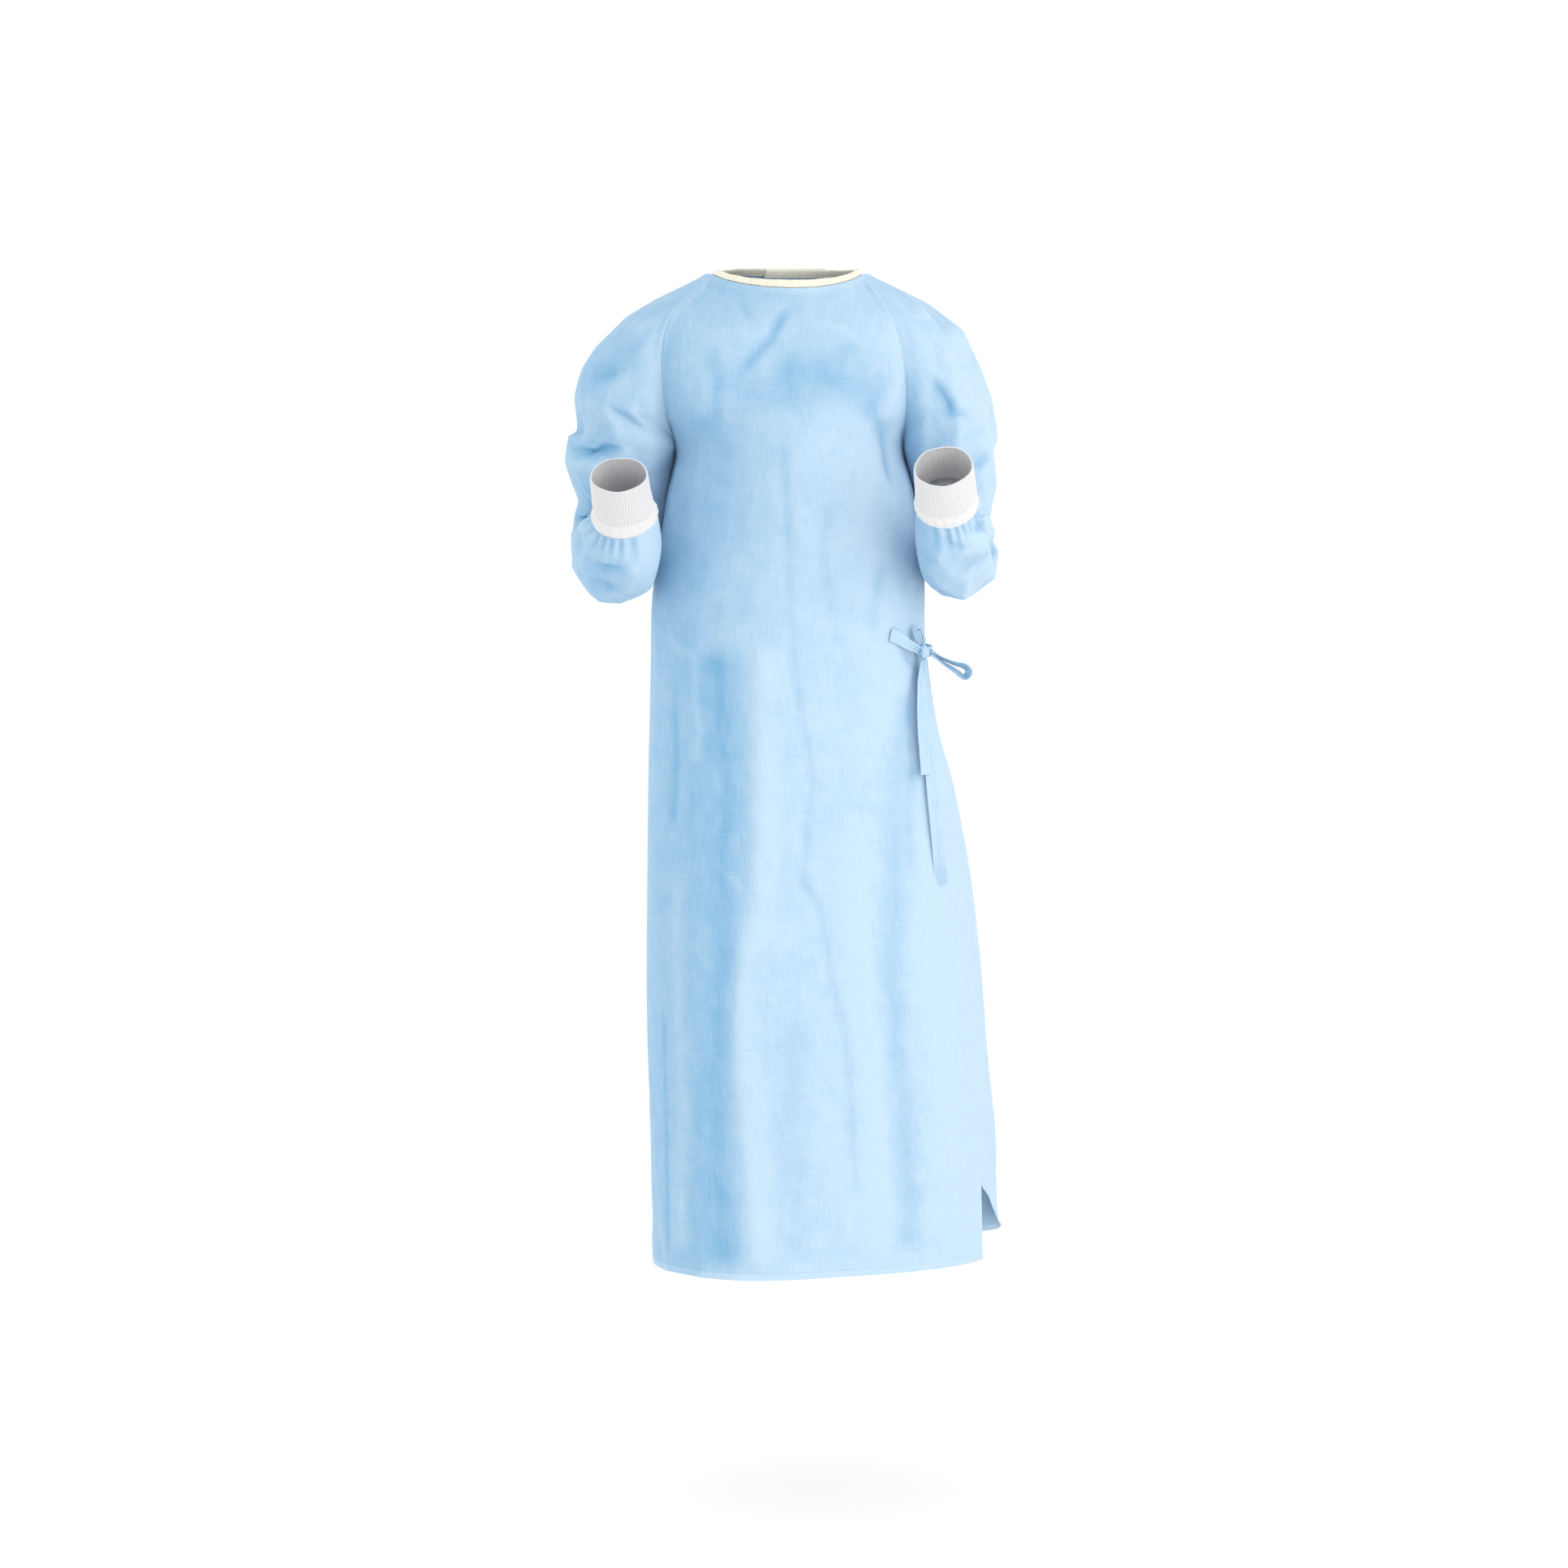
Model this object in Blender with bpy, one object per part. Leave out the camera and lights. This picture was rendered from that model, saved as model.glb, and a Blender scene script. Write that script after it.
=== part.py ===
"""A surgical gown as it hangs when worn.

It has raglan sleeves, knit cuffs, a bound neck, a back that wraps round to the left side, and a tied belt.

Metres, +Z up. The origin is the middle of the neck opening, where the shoulders carry the gown. The gown
faces -Y, and +X is the wearer's left. Every cloth piece is a wall on one shared form: a piece's outer face is a
grid of points on that form, and its inner face is the same grid moved in by the cloth's thickness.

Two numbers place a point on the body. "Round" runs from 0 at the front ridge through 1 at the left side to 2
at the back, and through -1 at the right side to -2. "Level" runs from 0 at the neck through 1 at the underarm
to 2 at the hem.
"""

import math

import bpy
import numpy as np

# Driving dimensions
CLOTH = 0.0016                  # wall of the gown's cloth
KNIT = 0.0022                   # wall of a cuff
RIBBON = 0.0013                 # thickness of the belt's ribbon
SEAM_GAP = 0.0003               # pieces stay this far apart where they are sewn together
OVERLAP_OUT = 0.0050            # the flap lies this far outside the layer under it
UNDERARM_DROP = 0.210           # below the origin
HEM_DROP = 1.168
HEM_SAG = 0.008                 # the hem hangs this much lower at the left side
FLAP_LIFT = 0.017               # the flap's free corner is this much higher, where the belt pulls it up
BINDING_HEIGHT = 0.0093
BINDING_THICKNESS = 0.0030
BINDING_PROUD = 0.0007          # the binding stands this far outside the cloth
BINDING_SMOOTHING = 2           # passes that even out its lean where two pieces meet
BINDING_GAP = 1.5 * SEAM_GAP    # between the binding and the neck edge
BINDING_CORNER_GAP = 3.0 * SEAM_GAP     # added to it where two pieces meet at an angle
CUFF_LENGTH = 0.062
CUFF_TOP_RADIUS = {"right": 0.0318, "left": 0.0312}
CUFF_ROLL_RADIUS = {"right": 0.0365, "left": 0.0338}
CUFF_ROLL_BULGE = 0.0010        # the rolled seam is this much rounder than its radius at its fullest
CUFF_FLARE = 0.0020             # the knit is this much wider where it leaves the rolled seam
CUFF_DIRECTION = {"right": (-0.080, -0.640, 0.764), "left": (-0.093, -0.715, 0.693)}
NECK_SWEEP = 68.0               # degrees of an ellipse that a neck arc spans each side of its middle
BACK_SEAM_RISE = 0.04           # the back of a sleeve's head stands this share of its depth higher

# How finely the forms are divided
UPPER_LEVELS = 7
LOWER_DROPS = (0.210, 0.250, 0.295, 0.340, 0.390, 0.440, 0.500, 0.570, 0.650, 0.740, 0.840, 0.950, 1.060, 1.168)
SLEEVE_SPOKES = 16
CUFF_SPOKES = 20
FRONT_CELLS = 20
INNER_CELLS = 11
FLAP_CELLS = 20
ROUND_STEP = 0.02               # the steps over which a slope of the form is measured
LEVEL_STEP = 0.01

CLOTH_BLUE = (0.42, 0.68, 0.90, 1.0)
RIBBON_BLUE = (0.38, 0.64, 0.88, 1.0)
KNIT_WHITE = (0.88, 0.86, 0.88, 1.0)
BINDING_CREAM = (0.90, 0.89, 0.72, 1.0)
TAB_WHITE = (0.85, 0.86, 0.86, 1.0)

# The sections of the body below the underarm. Each one is four quarters of rounded squares between its right
# side, front ridge, left side and back. "Square" is 2 for a quarter of an ellipse, less for a straighter one.
BODY_SECTIONS = np.array([
    # drop, right x, y,      ridge x, y,      left x, y,      back x, y,     square: right, left, back
    (0.210, -0.1320, 0.000,  0.000, -0.125,   0.1370, 0.000,  0.000, 0.105,  2.0, 2.0, 2.0),
    (0.260, -0.1405, 0.000,  0.000, -0.130,   0.1485, 0.000,  0.000, 0.104,  2.1, 2.1, 2.1),
    (0.340, -0.1540, 0.000, -0.003, -0.133,   0.1610, 0.000,  0.000, 0.103,  2.2, 2.2, 2.2),
    (0.400, -0.1610, 0.000, -0.006, -0.133,   0.1630, 0.000,  0.001, 0.104,  2.3, 2.1, 2.2),
    (0.460, -0.1615, -0.003, -0.011, -0.132,  0.1650, -0.002, 0.003, 0.108,  2.3, 2.0, 2.2),
    (0.560, -0.1640, -0.008, -0.021, -0.132,  0.1830, -0.002, 0.010, 0.116,  2.3, 1.8, 2.2),
    (0.700, -0.1660, -0.012, -0.034, -0.134,  0.2080, 0.000,  0.018, 0.124,  2.4, 1.65, 2.2),
    (0.850, -0.1666, -0.016, -0.044, -0.135,  0.2230, 0.003,  0.024, 0.130,  2.4, 1.55, 2.2),
    (1.000, -0.1645, -0.020, -0.047, -0.138,  0.2300, 0.004,  0.028, 0.134,  2.4, 1.5, 2.2),
    (1.168, -0.1605, -0.024, -0.046, -0.141,  0.2345, 0.004,  0.030, 0.137,  2.4, 1.45, 2.2),
])

# The middles of the front and back of the body above the underarm, from the neck down
CHEST_PROFILE = np.array([
    # level, x, y, z
    (0.00, 0.010, -0.0700, -0.0275),
    (0.20, 0.008, -0.0840, -0.0560),
    (0.45, 0.004, -0.1020, -0.1000),
    (0.70, 0.001, -0.1170, -0.1500),
    (1.00, 0.000, -0.1250, -0.2100),
])
NAPE_PROFILE = np.array([
    # level, x, y, z
    (0.00, 0.000, 0.0800, -0.0030),
    (0.20, 0.000, 0.0930, -0.0320),
    (0.45, 0.000, 0.1040, -0.0800),
    (0.70, 0.000, 0.1080, -0.1400),
    (1.00, 0.000, 0.1050, -0.2100),
])

# The sleeves' heads, between the two raglan seams: the middle of the two seams, the crown that shows as the
# outline of the shoulder, half the depth from front to back, and the angle at which the seams cut the arm.
SLEEVE_HEAD = {
    "left": np.array([
        # level, seam x, y, z,            crown x, y, z,           half depth, cut angle
        (0.00, 0.0880, 0.0080, -0.0060,   0.0965, 0.0080, -0.0050,  0.0330, 125.0),
        (0.15, 0.1060, 0.0060, -0.0310,   0.1280, 0.0100, -0.0205,  0.0510, 101.0),
        (0.30, 0.1200, 0.0050, -0.0560,   0.1650, 0.0120, -0.0410,  0.0670, 86.0),
        (0.45, 0.1300, 0.0050, -0.0850,   0.1980, 0.0120, -0.0610,  0.0760, 78.0),
        (0.60, 0.1360, 0.0040, -0.1170,   0.2150, 0.0120, -0.0930,  0.0790, 69.0),
        (0.75, 0.1380, 0.0030, -0.1500,   0.2310, 0.0120, -0.1310,  0.0775, 54.0),
        (0.90, 0.1375, 0.0010, -0.1850,   0.2455, 0.0110, -0.1700,  0.0730, 29.0),
        (1.00, 0.1370, 0.0000, -0.2100,   0.2515, 0.0100, -0.2060,  0.0690, 0.0),
    ]),
    "right": np.array([
        (0.00, -0.0880, 0.0080, -0.0060,  -0.0965, 0.0080, -0.0045,  0.0330, 125.0),
        (0.15, -0.1130, 0.0060, -0.0310,  -0.1330, 0.0100, -0.0235,  0.0510, 101.0),
        (0.30, -0.1330, 0.0050, -0.0530,  -0.1740, 0.0120, -0.0500,  0.0670, 86.0),
        (0.45, -0.1440, 0.0050, -0.0820,  -0.2090, 0.0120, -0.0785,  0.0760, 78.0),
        (0.60, -0.1460, 0.0040, -0.1150,  -0.2360, 0.0120, -0.1060,  0.0790, 69.0),
        (0.75, -0.1430, 0.0030, -0.1490,  -0.2490, 0.0120, -0.1400,  0.0775, 54.0),
        (0.90, -0.1370, 0.0010, -0.1850,  -0.2525, 0.0110, -0.1760,  0.0730, 29.0),
        (1.00, -0.1320, 0.0000, -0.2100,  -0.2530, 0.0090, -0.2010,  0.0690, 0.0),
    ]),
}

# The arms' tubes below the underarm: a section's centre, and how far it reaches away from the body, towards it,
# to the under side (the back of the upper arm) and to the upper side (its front). The dips are the folds at the
# elbow.
UNDER_SQUARE = {"left": (1.8, 3.2), "right": (2.6, 3.2)}   # squareness of a section's under side: away, towards
SQUARE_FROM = 5                 # the sections are elliptical above this one, counted from the underarm
ARM_SECTIONS = {
    "left": np.array([
        # x, y, z,                away,   towards, under,  over
        (0.2000, 0.0090, -0.2300, 0.0500, 0.0505, 0.0650, 0.0640),
        (0.2030, 0.0130, -0.2500, 0.0440, 0.0490, 0.0610, 0.0590),
        (0.2050, 0.0170, -0.2680, 0.0310, 0.0450, 0.0570, 0.0530),
        (0.2065, 0.0205, -0.2850, 0.0300, 0.0430, 0.0530, 0.0470),
        (0.2070, 0.0220, -0.3020, 0.0360, 0.0425, 0.0500, 0.0400),
        (0.2070, 0.0170, -0.3180, 0.0380, 0.0410, 0.0490, 0.0350),
        (0.2060, 0.0040, -0.3320, 0.0385, 0.0400, 0.0480, 0.0330),
        (0.2050, -0.0160, -0.3400, 0.0390, 0.0400, 0.0450, 0.0340),
        (0.2030, -0.0430, -0.3420, 0.0405, 0.0410, 0.0430, 0.0380),
        (0.1990, -0.0740, -0.3390, 0.0430, 0.0430, 0.0430, 0.0420),
        (0.1950, -0.1040, -0.3320, 0.0440, 0.0440, 0.0430, 0.0440),
        (0.1910, -0.1310, -0.3215, 0.0440, 0.0440, 0.0430, 0.0430),
        (0.1870, -0.1540, -0.3085, 0.0425, 0.0425, 0.0420, 0.0410),
        (0.1825, -0.1720, -0.2945, 0.0385, 0.0385, 0.0390, 0.0390),
        (0.1790, -0.1870, -0.2810, 0.0340, 0.0340, 0.0340, 0.0340),
    ]),
    "right": np.array([
        (-0.2010, 0.0090, -0.2200, 0.0640, 0.0560, 0.0660, 0.0650),
        (-0.2030, 0.0130, -0.2400, 0.0580, 0.0540, 0.0620, 0.0600),
        (-0.2050, 0.0170, -0.2580, 0.0500, 0.0510, 0.0580, 0.0540),
        (-0.2065, 0.0205, -0.2745, 0.0385, 0.0480, 0.0540, 0.0480),
        (-0.2075, 0.0220, -0.2910, 0.0500, 0.0470, 0.0510, 0.0410),
        (-0.2080, 0.0190, -0.3080, 0.0450, 0.0450, 0.0500, 0.0360),
        (-0.2075, 0.0080, -0.3240, 0.0440, 0.0430, 0.0490, 0.0330),
        (-0.2065, -0.0090, -0.3370, 0.0430, 0.0420, 0.0470, 0.0330),
        (-0.2050, -0.0340, -0.3440, 0.0420, 0.0420, 0.0450, 0.0360),
        (-0.2020, -0.0650, -0.3450, 0.0440, 0.0440, 0.0440, 0.0400),
        (-0.1980, -0.0960, -0.3410, 0.0470, 0.0460, 0.0440, 0.0440),
        (-0.1935, -0.1240, -0.3330, 0.0490, 0.0470, 0.0450, 0.0450),
        (-0.1890, -0.1490, -0.3220, 0.0480, 0.0460, 0.0440, 0.0440),
        (-0.1855, -0.1690, -0.3075, 0.0430, 0.0425, 0.0420, 0.0415),
        (-0.1825, -0.1860, -0.2945, 0.0365, 0.0365, 0.0365, 0.0365),
    ]),
}

# Where panels end. The right side seam turns to the front towards the hem. The flap's free edge starts behind
# the neck, is pulled to the left hip by the belt, and swings away from the body below it.
RIGHT_SEAM = np.array([
    # drop, round
    (0.210, -1.000),
    (0.800, -1.000),
    (0.950, -0.860),
    (1.060, -0.720),
    (1.168, -0.610),
])
LEFT_SEAM_ROUND = 1.0
INNER_FREE_EDGE = 2.25          # the inner layer ends this far round, past the middle of the back
FLAP_EDGE_UPPER = np.array([
    # level, round
    (0.00, 1.560),
    (0.40, 1.500),
    (1.00, 1.360),
])
FLAP_EDGE = np.array([
    # drop, round
    (0.210, 1.360),
    (0.330, 1.150),
    (0.440, 1.000),
    (1.168, 1.000),
])
FLAP_SIDE = np.array([
    # drop, x and y that the flap's left quarter reaches for
    (0.210, 0.1375, 0.0000),
    (0.340, 0.1620, 0.0000),
    (0.400, 0.1635, 0.0000),
    (0.460, 0.1655, 0.0010),
    (0.560, 0.1860, 0.0180),
    (0.700, 0.2150, 0.0500),
    (0.850, 0.2350, 0.0830),
    (1.000, 0.2490, 0.1040),
    (1.168, 0.2630, 0.1180),
])

# The broad folds: ridges are positive. A fold runs straight from top to bottom, fading out at both ends.
FOLDS = (
    # round at top and bottom, drop at top and bottom, half width in metres, height
    (-0.02, -0.34, 0.060, 0.190, 0.022, -0.0045),
    (0.30, 0.16, 0.050, 0.170, 0.025, -0.0030),
    (0.62, 0.80, 0.130, 0.300, 0.024, -0.0035),
    (-0.55, -0.42, 0.480, 1.168, 0.030, -0.0050),
    (0.18, 0.34, 0.300, 1.168, 0.028, -0.0030),
    (-1.50, -1.42, 0.450, 1.168, 0.035, -0.0070),
    (1.80, 1.72, 0.480, 1.168, 0.035, -0.0060),
    (-1.80, -1.74, 0.300, 1.168, 0.035, 0.0060),
)
FOLD_FADE = 0.08                # metres over which a fold fades in and out
FOLD_LEAD = 0.2                 # the share of a fold's length, and of its fade, that it runs past both its ends
CHEST_GIRTH = 0.135             # metres for each unit of round above the underarm, and below it
SKIRT_GIRTH = 0.20

# The belt. Its knot sits on the front panel near the left hip.
KNOT_ROUND = 0.745
KNOT_DROP = 0.447
KNOT_RADII = (0.0080, 0.0085, 0.0100)   # along the panel, out from it, up
KNOT_OUT = 0.0093
# Ribbons that lie on the front panel, or on the flap. Tilt 0 lies flat on the panel, and 90 stands on its edge.
TIE_FRONT = np.array([
    # share, round, drop, out, tilt, width
    (0.00, 0.525, 0.4270, 0.0011, 0.0, 0.0150),
    (0.30, 0.585, 0.4310, 0.0012, 0.0, 0.0150),
    (0.65, 0.645, 0.4385, 0.0040, 10.0, 0.0120),
    (1.00, 0.707, 0.4455, 0.0090, 25.0, 0.0085),
])
TIE_BACK = np.array([
    (0.00, 1.120, 0.4460, 0.0090, 0.0, 0.0150),
    (0.40, 1.000, 0.4470, 0.0088, 0.0, 0.0150),
    (0.75, 0.880, 0.4475, 0.0092, 10.0, 0.0120),
    (1.00, 0.785, 0.4470, 0.0092, 15.0, 0.0090),
])
BELT_END_SHORT = np.array([
    (0.00, 0.740, 0.4575, 0.0098, 0.0, 0.0070),
    (0.15, 0.716, 0.4760, 0.0092, 5.0, 0.0125),
    (0.50, 0.690, 0.5250, 0.0072, 10.0, 0.0150),
    (1.00, 0.668, 0.5900, 0.0068, 14.0, 0.0150),
])
BELT_END_LONG = np.array([
    (0.00, 0.758, 0.4570, 0.0056, 0.0, 0.0065),
    (0.10, 0.762, 0.4750, 0.0034, 0.0, 0.0120),
    (0.30, 0.728, 0.5400, 0.0022, 5.0, 0.0150),
    (0.55, 0.700, 0.6050, 0.0060, 35.0, 0.0150),
    (0.80, 0.694, 0.6700, 0.0058, 35.0, 0.0150),
    (1.00, 0.700, 0.7180, 0.0040, 15.0, 0.0150),
])
# The bow's loops stand free of the panel: metres right of, behind and above the knot's middle, along one strand
# and back along the other.
BOW_LOOP = np.array([
    # share, x, y, z, tilt, width
    (0.00, 0.0092, -0.0010, 0.0012, 0.0, 0.0080),
    (0.18, 0.0220, 0.0030, -0.0075, 0.0, 0.0120),
    (0.34, 0.0380, 0.0060, -0.0140, -5.0, 0.0150),
    (0.46, 0.0500, 0.0070, -0.0180, -15.0, 0.0150),
    (0.50, 0.0540, 0.0070, -0.0240, -20.0, 0.0150),
    (0.54, 0.0490, 0.0065, -0.0300, -15.0, 0.0150),
    (0.66, 0.0360, 0.0050, -0.0220, -5.0, 0.0150),
    (0.82, 0.0210, 0.0020, -0.0120, 0.0, 0.0120),
    (1.00, 0.0092, -0.0010, -0.0030, 0.0, 0.0080),
])
EAR_LOOP = np.array([
    (0.00, -0.0035, -0.0060, 0.0110, -60.0, 0.0070),
    (0.30, -0.0065, -0.0095, 0.0180, -60.0, 0.0090),
    (0.47, -0.0085, -0.0095, 0.0250, -60.0, 0.0095),
    (0.53, -0.0060, -0.0060, 0.0252, -60.0, 0.0095),
    (0.70, -0.0030, -0.0040, 0.0180, -60.0, 0.0090),
    (1.00, 0.0005, -0.0025, 0.0110, -60.0, 0.0070),
])
RIBBON_STEPS = 12

# The tab that closes the neck behind: it is fixed to the flap and crosses its free edge to the inner layer.
TAB_LEVEL = 0.082
TAB_LENGTH = 0.060
TAB_HEIGHT = 0.025
TAB_THICKNESS = 0.0012
TAB_STEPS = 8
TAB_CLIMB = 0.012               # the length in which it climbs from the inner layer on to the flap


def read(table, at):
    """The row of a table at a value of its first column, on a smooth curve through its rows."""
    keys = table[:, 0]
    at = min(max(at, keys[0]), keys[-1])
    k = min(max(int(np.searchsorted(keys, at)) - 1, 0), len(keys) - 2)
    step = keys[k + 1] - keys[k]
    share = (at - keys[k]) / step

    def slope(i):
        a, b = max(i - 1, 0), min(i + 1, len(keys) - 1)
        return (table[b, 1:] - table[a, 1:]) / (keys[b] - keys[a])

    start, end = table[k, 1:], table[k + 1, 1:]
    rise = share * share * (3 - 2 * share)
    leave = share * (1 - share) ** 2 * step
    arrive = share * share * (share - 1) * step
    return start + (end - start) * rise + slope(k) * leave + slope(k + 1) * arrive


def unit(vector):
    """The vector at length 1."""
    vector = np.asarray(vector, float)
    return vector / max(np.linalg.norm(vector), 1e-12)


def ease(share):
    """0 to 1, with a soft start and end."""
    share = min(max(share, 0.0), 1.0)
    return share * share * (3 - 2 * share)


def quarter(middle, side, share, sweep, square):
    """A point on the arc from the front's or back's middle to a side: `sweep` degrees of a rounded square."""
    angle = math.radians(sweep)
    along = (math.sin(angle * share) / math.sin(angle)) ** (2 / square)
    back = max((math.cos(angle * share) - math.cos(angle)) / (1 - math.cos(angle)), 0.0) ** (2 / square)
    return np.array([
        middle[0] + (side[0] - middle[0]) * along,
        side[1] + (middle[1] - side[1]) * back,
        side[2] + (middle[2] - side[2]) * back,
    ])


def head_ring(side, level):
    """The sleeve's section at a level above the underarm: centre, out and depth vectors, and cut angle."""
    row = read(SLEEVE_HEAD[side], level)
    seam, crown = row[0:3], row[3:6]
    cut = math.radians(max(row[7], 0.0))
    out = (crown - seam) / (1 + math.cos(cut))
    depth = row[6] * np.array([0.0, 1.0, BACK_SEAM_RISE])
    return crown - out, out, depth, cut


def raglan_seam(side, level, back):
    """A point on a raglan seam, the front one or the back one."""
    centre, out, depth, cut = head_ring(side, level)
    turn = 1 if back else -1
    return centre - out * math.cos(cut) + turn * depth * math.sin(cut)


def drop_of(level):
    """Metres below the origin of a level under the underarm."""
    return UNDERARM_DROP + (level - 1) * (HEM_DROP - UNDERARM_DROP)


def level_of(drop):
    """The level of a drop under the underarm."""
    return 1 + (drop - UNDERARM_DROP) / (HEM_DROP - UNDERARM_DROP)


def hem_height(drop, round_):
    """The height of a point: the hem hangs a little lower at the left side."""
    fall = ((drop - UNDERARM_DROP) / (HEM_DROP - UNDERARM_DROP)) ** 2
    return -drop - HEM_SAG * fall * 0.5 * (1 + math.sin(math.radians(90 * round_)))


def body_point(round_, level, back_half=False):
    """A point of the body's form, without folds. At a side, the back half's points are the back seam's."""
    round_ = (round_ + 2) % 4 - 2
    share = abs(round_)
    front = share < 1 - 1e-9 or (share < 1 + 1e-9 and not back_half)
    side = "left" if round_ >= 0 else "right"
    if level < 1:
        middle = read(CHEST_PROFILE if front else NAPE_PROFILE, level)
        sweep = NECK_SWEEP + (90 - NECK_SWEEP) * ease(level * 1.25)
        edge = raglan_seam(side, level, not front)
        return quarter(middle, edge, share if front else 2 - share, sweep, 2.0)
    drop = drop_of(level)
    row = read(BODY_SECTIONS, drop)
    right, ridge, left, back = row[0:2], row[2:4], row[4:6], row[6:8]
    edge = left if side == "left" else right
    if front:
        square = row[9] if side == "left" else row[8]
        flat = quarter((*ridge, 0), (*edge, 0), share, 90, square)
    else:
        flat = quarter((*back, 0), (*edge, 0), 2 - share, 90, row[10])
    return np.array([flat[0], flat[1], hem_height(drop, round_)])


def back_point(round_, level):
    """A point of a back piece."""
    return body_point(round_, level, True)


def fold_height(round_, drop):
    """How far the broad folds move a point out."""
    total = 0.0
    for top, bottom, first, last, half_width, height in FOLDS:
        along = (drop - first) / (last - first)
        if not -FOLD_LEAD < along < 1 + FOLD_LEAD:
            continue
        centre = top + (bottom - top) * along
        girth = CHEST_GIRTH if drop < UNDERARM_DROP else SKIRT_GIRTH
        away = ((round_ - centre + 2) % 4 - 2) * girth / half_width
        start = ease((drop - first) / FOLD_FADE + FOLD_LEAD)
        end = 1.0 if last >= HEM_DROP else ease((last - drop) / FOLD_FADE + FOLD_LEAD)
        total += height * math.exp(-away * away) * start * end
    return total


def flap_edge(level):
    """How far round the flap's free edge is."""
    if level < 1:
        return read(FLAP_EDGE_UPPER, level)[0]
    return read(FLAP_EDGE, drop_of(level))[0]


def flap_point(round_, level):
    """A point of the flap, which lies outside the inner layer and swings away from it to its free edge."""
    base = back_point(round_, level)
    if level <= 1 or not 1 <= (round_ + 4) % 4 <= 2:
        return base
    drop = drop_of(level)
    row = read(BODY_SECTIONS, drop)
    side = read(FLAP_SIDE, drop)
    share = 2 - (round_ + 4) % 4
    flat = quarter((row[6], row[7], 0), (side[0], side[1], 0), share, 90, row[10])
    lift = FLAP_LIFT * share * share * (level - 1) ** 2
    return np.array([flat[0], flat[1], base[2] + lift])


def normals_of(grid, closed_from=None):
    """Outward normals of a grid of points, from the slopes along its rows and columns."""
    along = np.empty_like(grid)
    along[:, 1:-1] = grid[:, 2:] - grid[:, :-2]
    along[:, 0] = grid[:, 1] - grid[:, 0]
    along[:, -1] = grid[:, -1] - grid[:, -2]
    if closed_from is not None:
        along[closed_from + 1:, 0] = grid[closed_from + 1:, 1] - grid[closed_from + 1:, -2]
        along[closed_from + 1:, -1] = along[closed_from + 1:, 0]
    down = np.empty_like(grid)
    down[1:-1] = grid[2:] - grid[:-2]
    down[0] = grid[1] - grid[0]
    down[-1] = grid[-1] - grid[-2]
    normal = np.cross(down, along)
    return normal / np.maximum(np.linalg.norm(normal, axis=2, keepdims=True), 1e-12)


def body_levels():
    """The levels of a body panel's rows."""
    upper = [k / UPPER_LEVELS for k in range(UPPER_LEVELS)]
    return upper + [level_of(drop) for drop in LOWER_DROPS]


def panel_grid(start_of, end_of, cells, point):
    """A body panel's outer points: a row for each level, from one edge to the other, with the broad folds."""
    rows = []
    stations = []
    for level in body_levels():
        first, last = start_of(level), end_of(level)
        rounds = [first + (last - first) * k / cells for k in range(cells + 1)]
        rows.append([point(round_, level) for round_ in rounds])
        stations.append(rounds)
    grid = np.array(rows)
    normals = normals_of(grid)
    for r, level in enumerate(body_levels()):
        drop = UNDERARM_DROP * level if level < 1 else drop_of(level)
        for c, round_ in enumerate(stations[r]):
            grid[r, c] += normals[r, c] * fold_height(round_, drop)
    return grid, stations


def front_grid():
    """The front panel, from its right edge to its left edge."""
    return panel_grid(right_edge, lambda level: LEFT_SEAM_ROUND, FRONT_CELLS, body_point)[0]


def right_edge(level):
    """How far round the right raglan or side seam is."""
    return -1.0 if level < 1 else read(RIGHT_SEAM, drop_of(level))[0]


def inner_grid():
    """The back's inner layer, from the left seams to its free edge under the flap."""
    return panel_grid(lambda level: LEFT_SEAM_ROUND, lambda level: INNER_FREE_EDGE, INNER_CELLS, back_point)[0]


def flap_grid():
    """The back's outer flap, from its free edge at the wearer's left round to the right seams."""
    grid, stations = panel_grid(flap_edge, lambda level: 4 + right_edge(level), FLAP_CELLS, flap_point)
    normals = normals_of(grid)
    for r in range(grid.shape[0]):
        for c, round_ in enumerate(stations[r]):
            lift = OVERLAP_OUT * ease((3.0 - round_) / 0.5)
            grid[r, c] += normals[r, c] * lift
    return grid


def arm_frames(side):
    """Each arm section's centre and its directions away from the body and to the under side."""
    table = ARM_SECTIONS[side]
    centres = table[:, 0:3]
    head = head_ring(side, 1.0)[0]
    path = np.vstack([head, centres, centres[-1] + np.array(CUFF_DIRECTION[side]) * 0.02])
    outward = np.array([1.0 if side == "left" else -1.0, 0.0, 0.0])
    frames = []
    for k in range(1, len(path) - 1):
        forward = unit(path[k + 1] - path[k - 1])
        if k == len(path) - 2:
            forward = unit(CUFF_DIRECTION[side])
        away = unit(outward - forward * np.dot(outward, forward))
        under = unit(np.cross(away, forward)) * (1 if side == "left" else -1)
        frames.append((path[k], away, under))
    return frames


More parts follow.
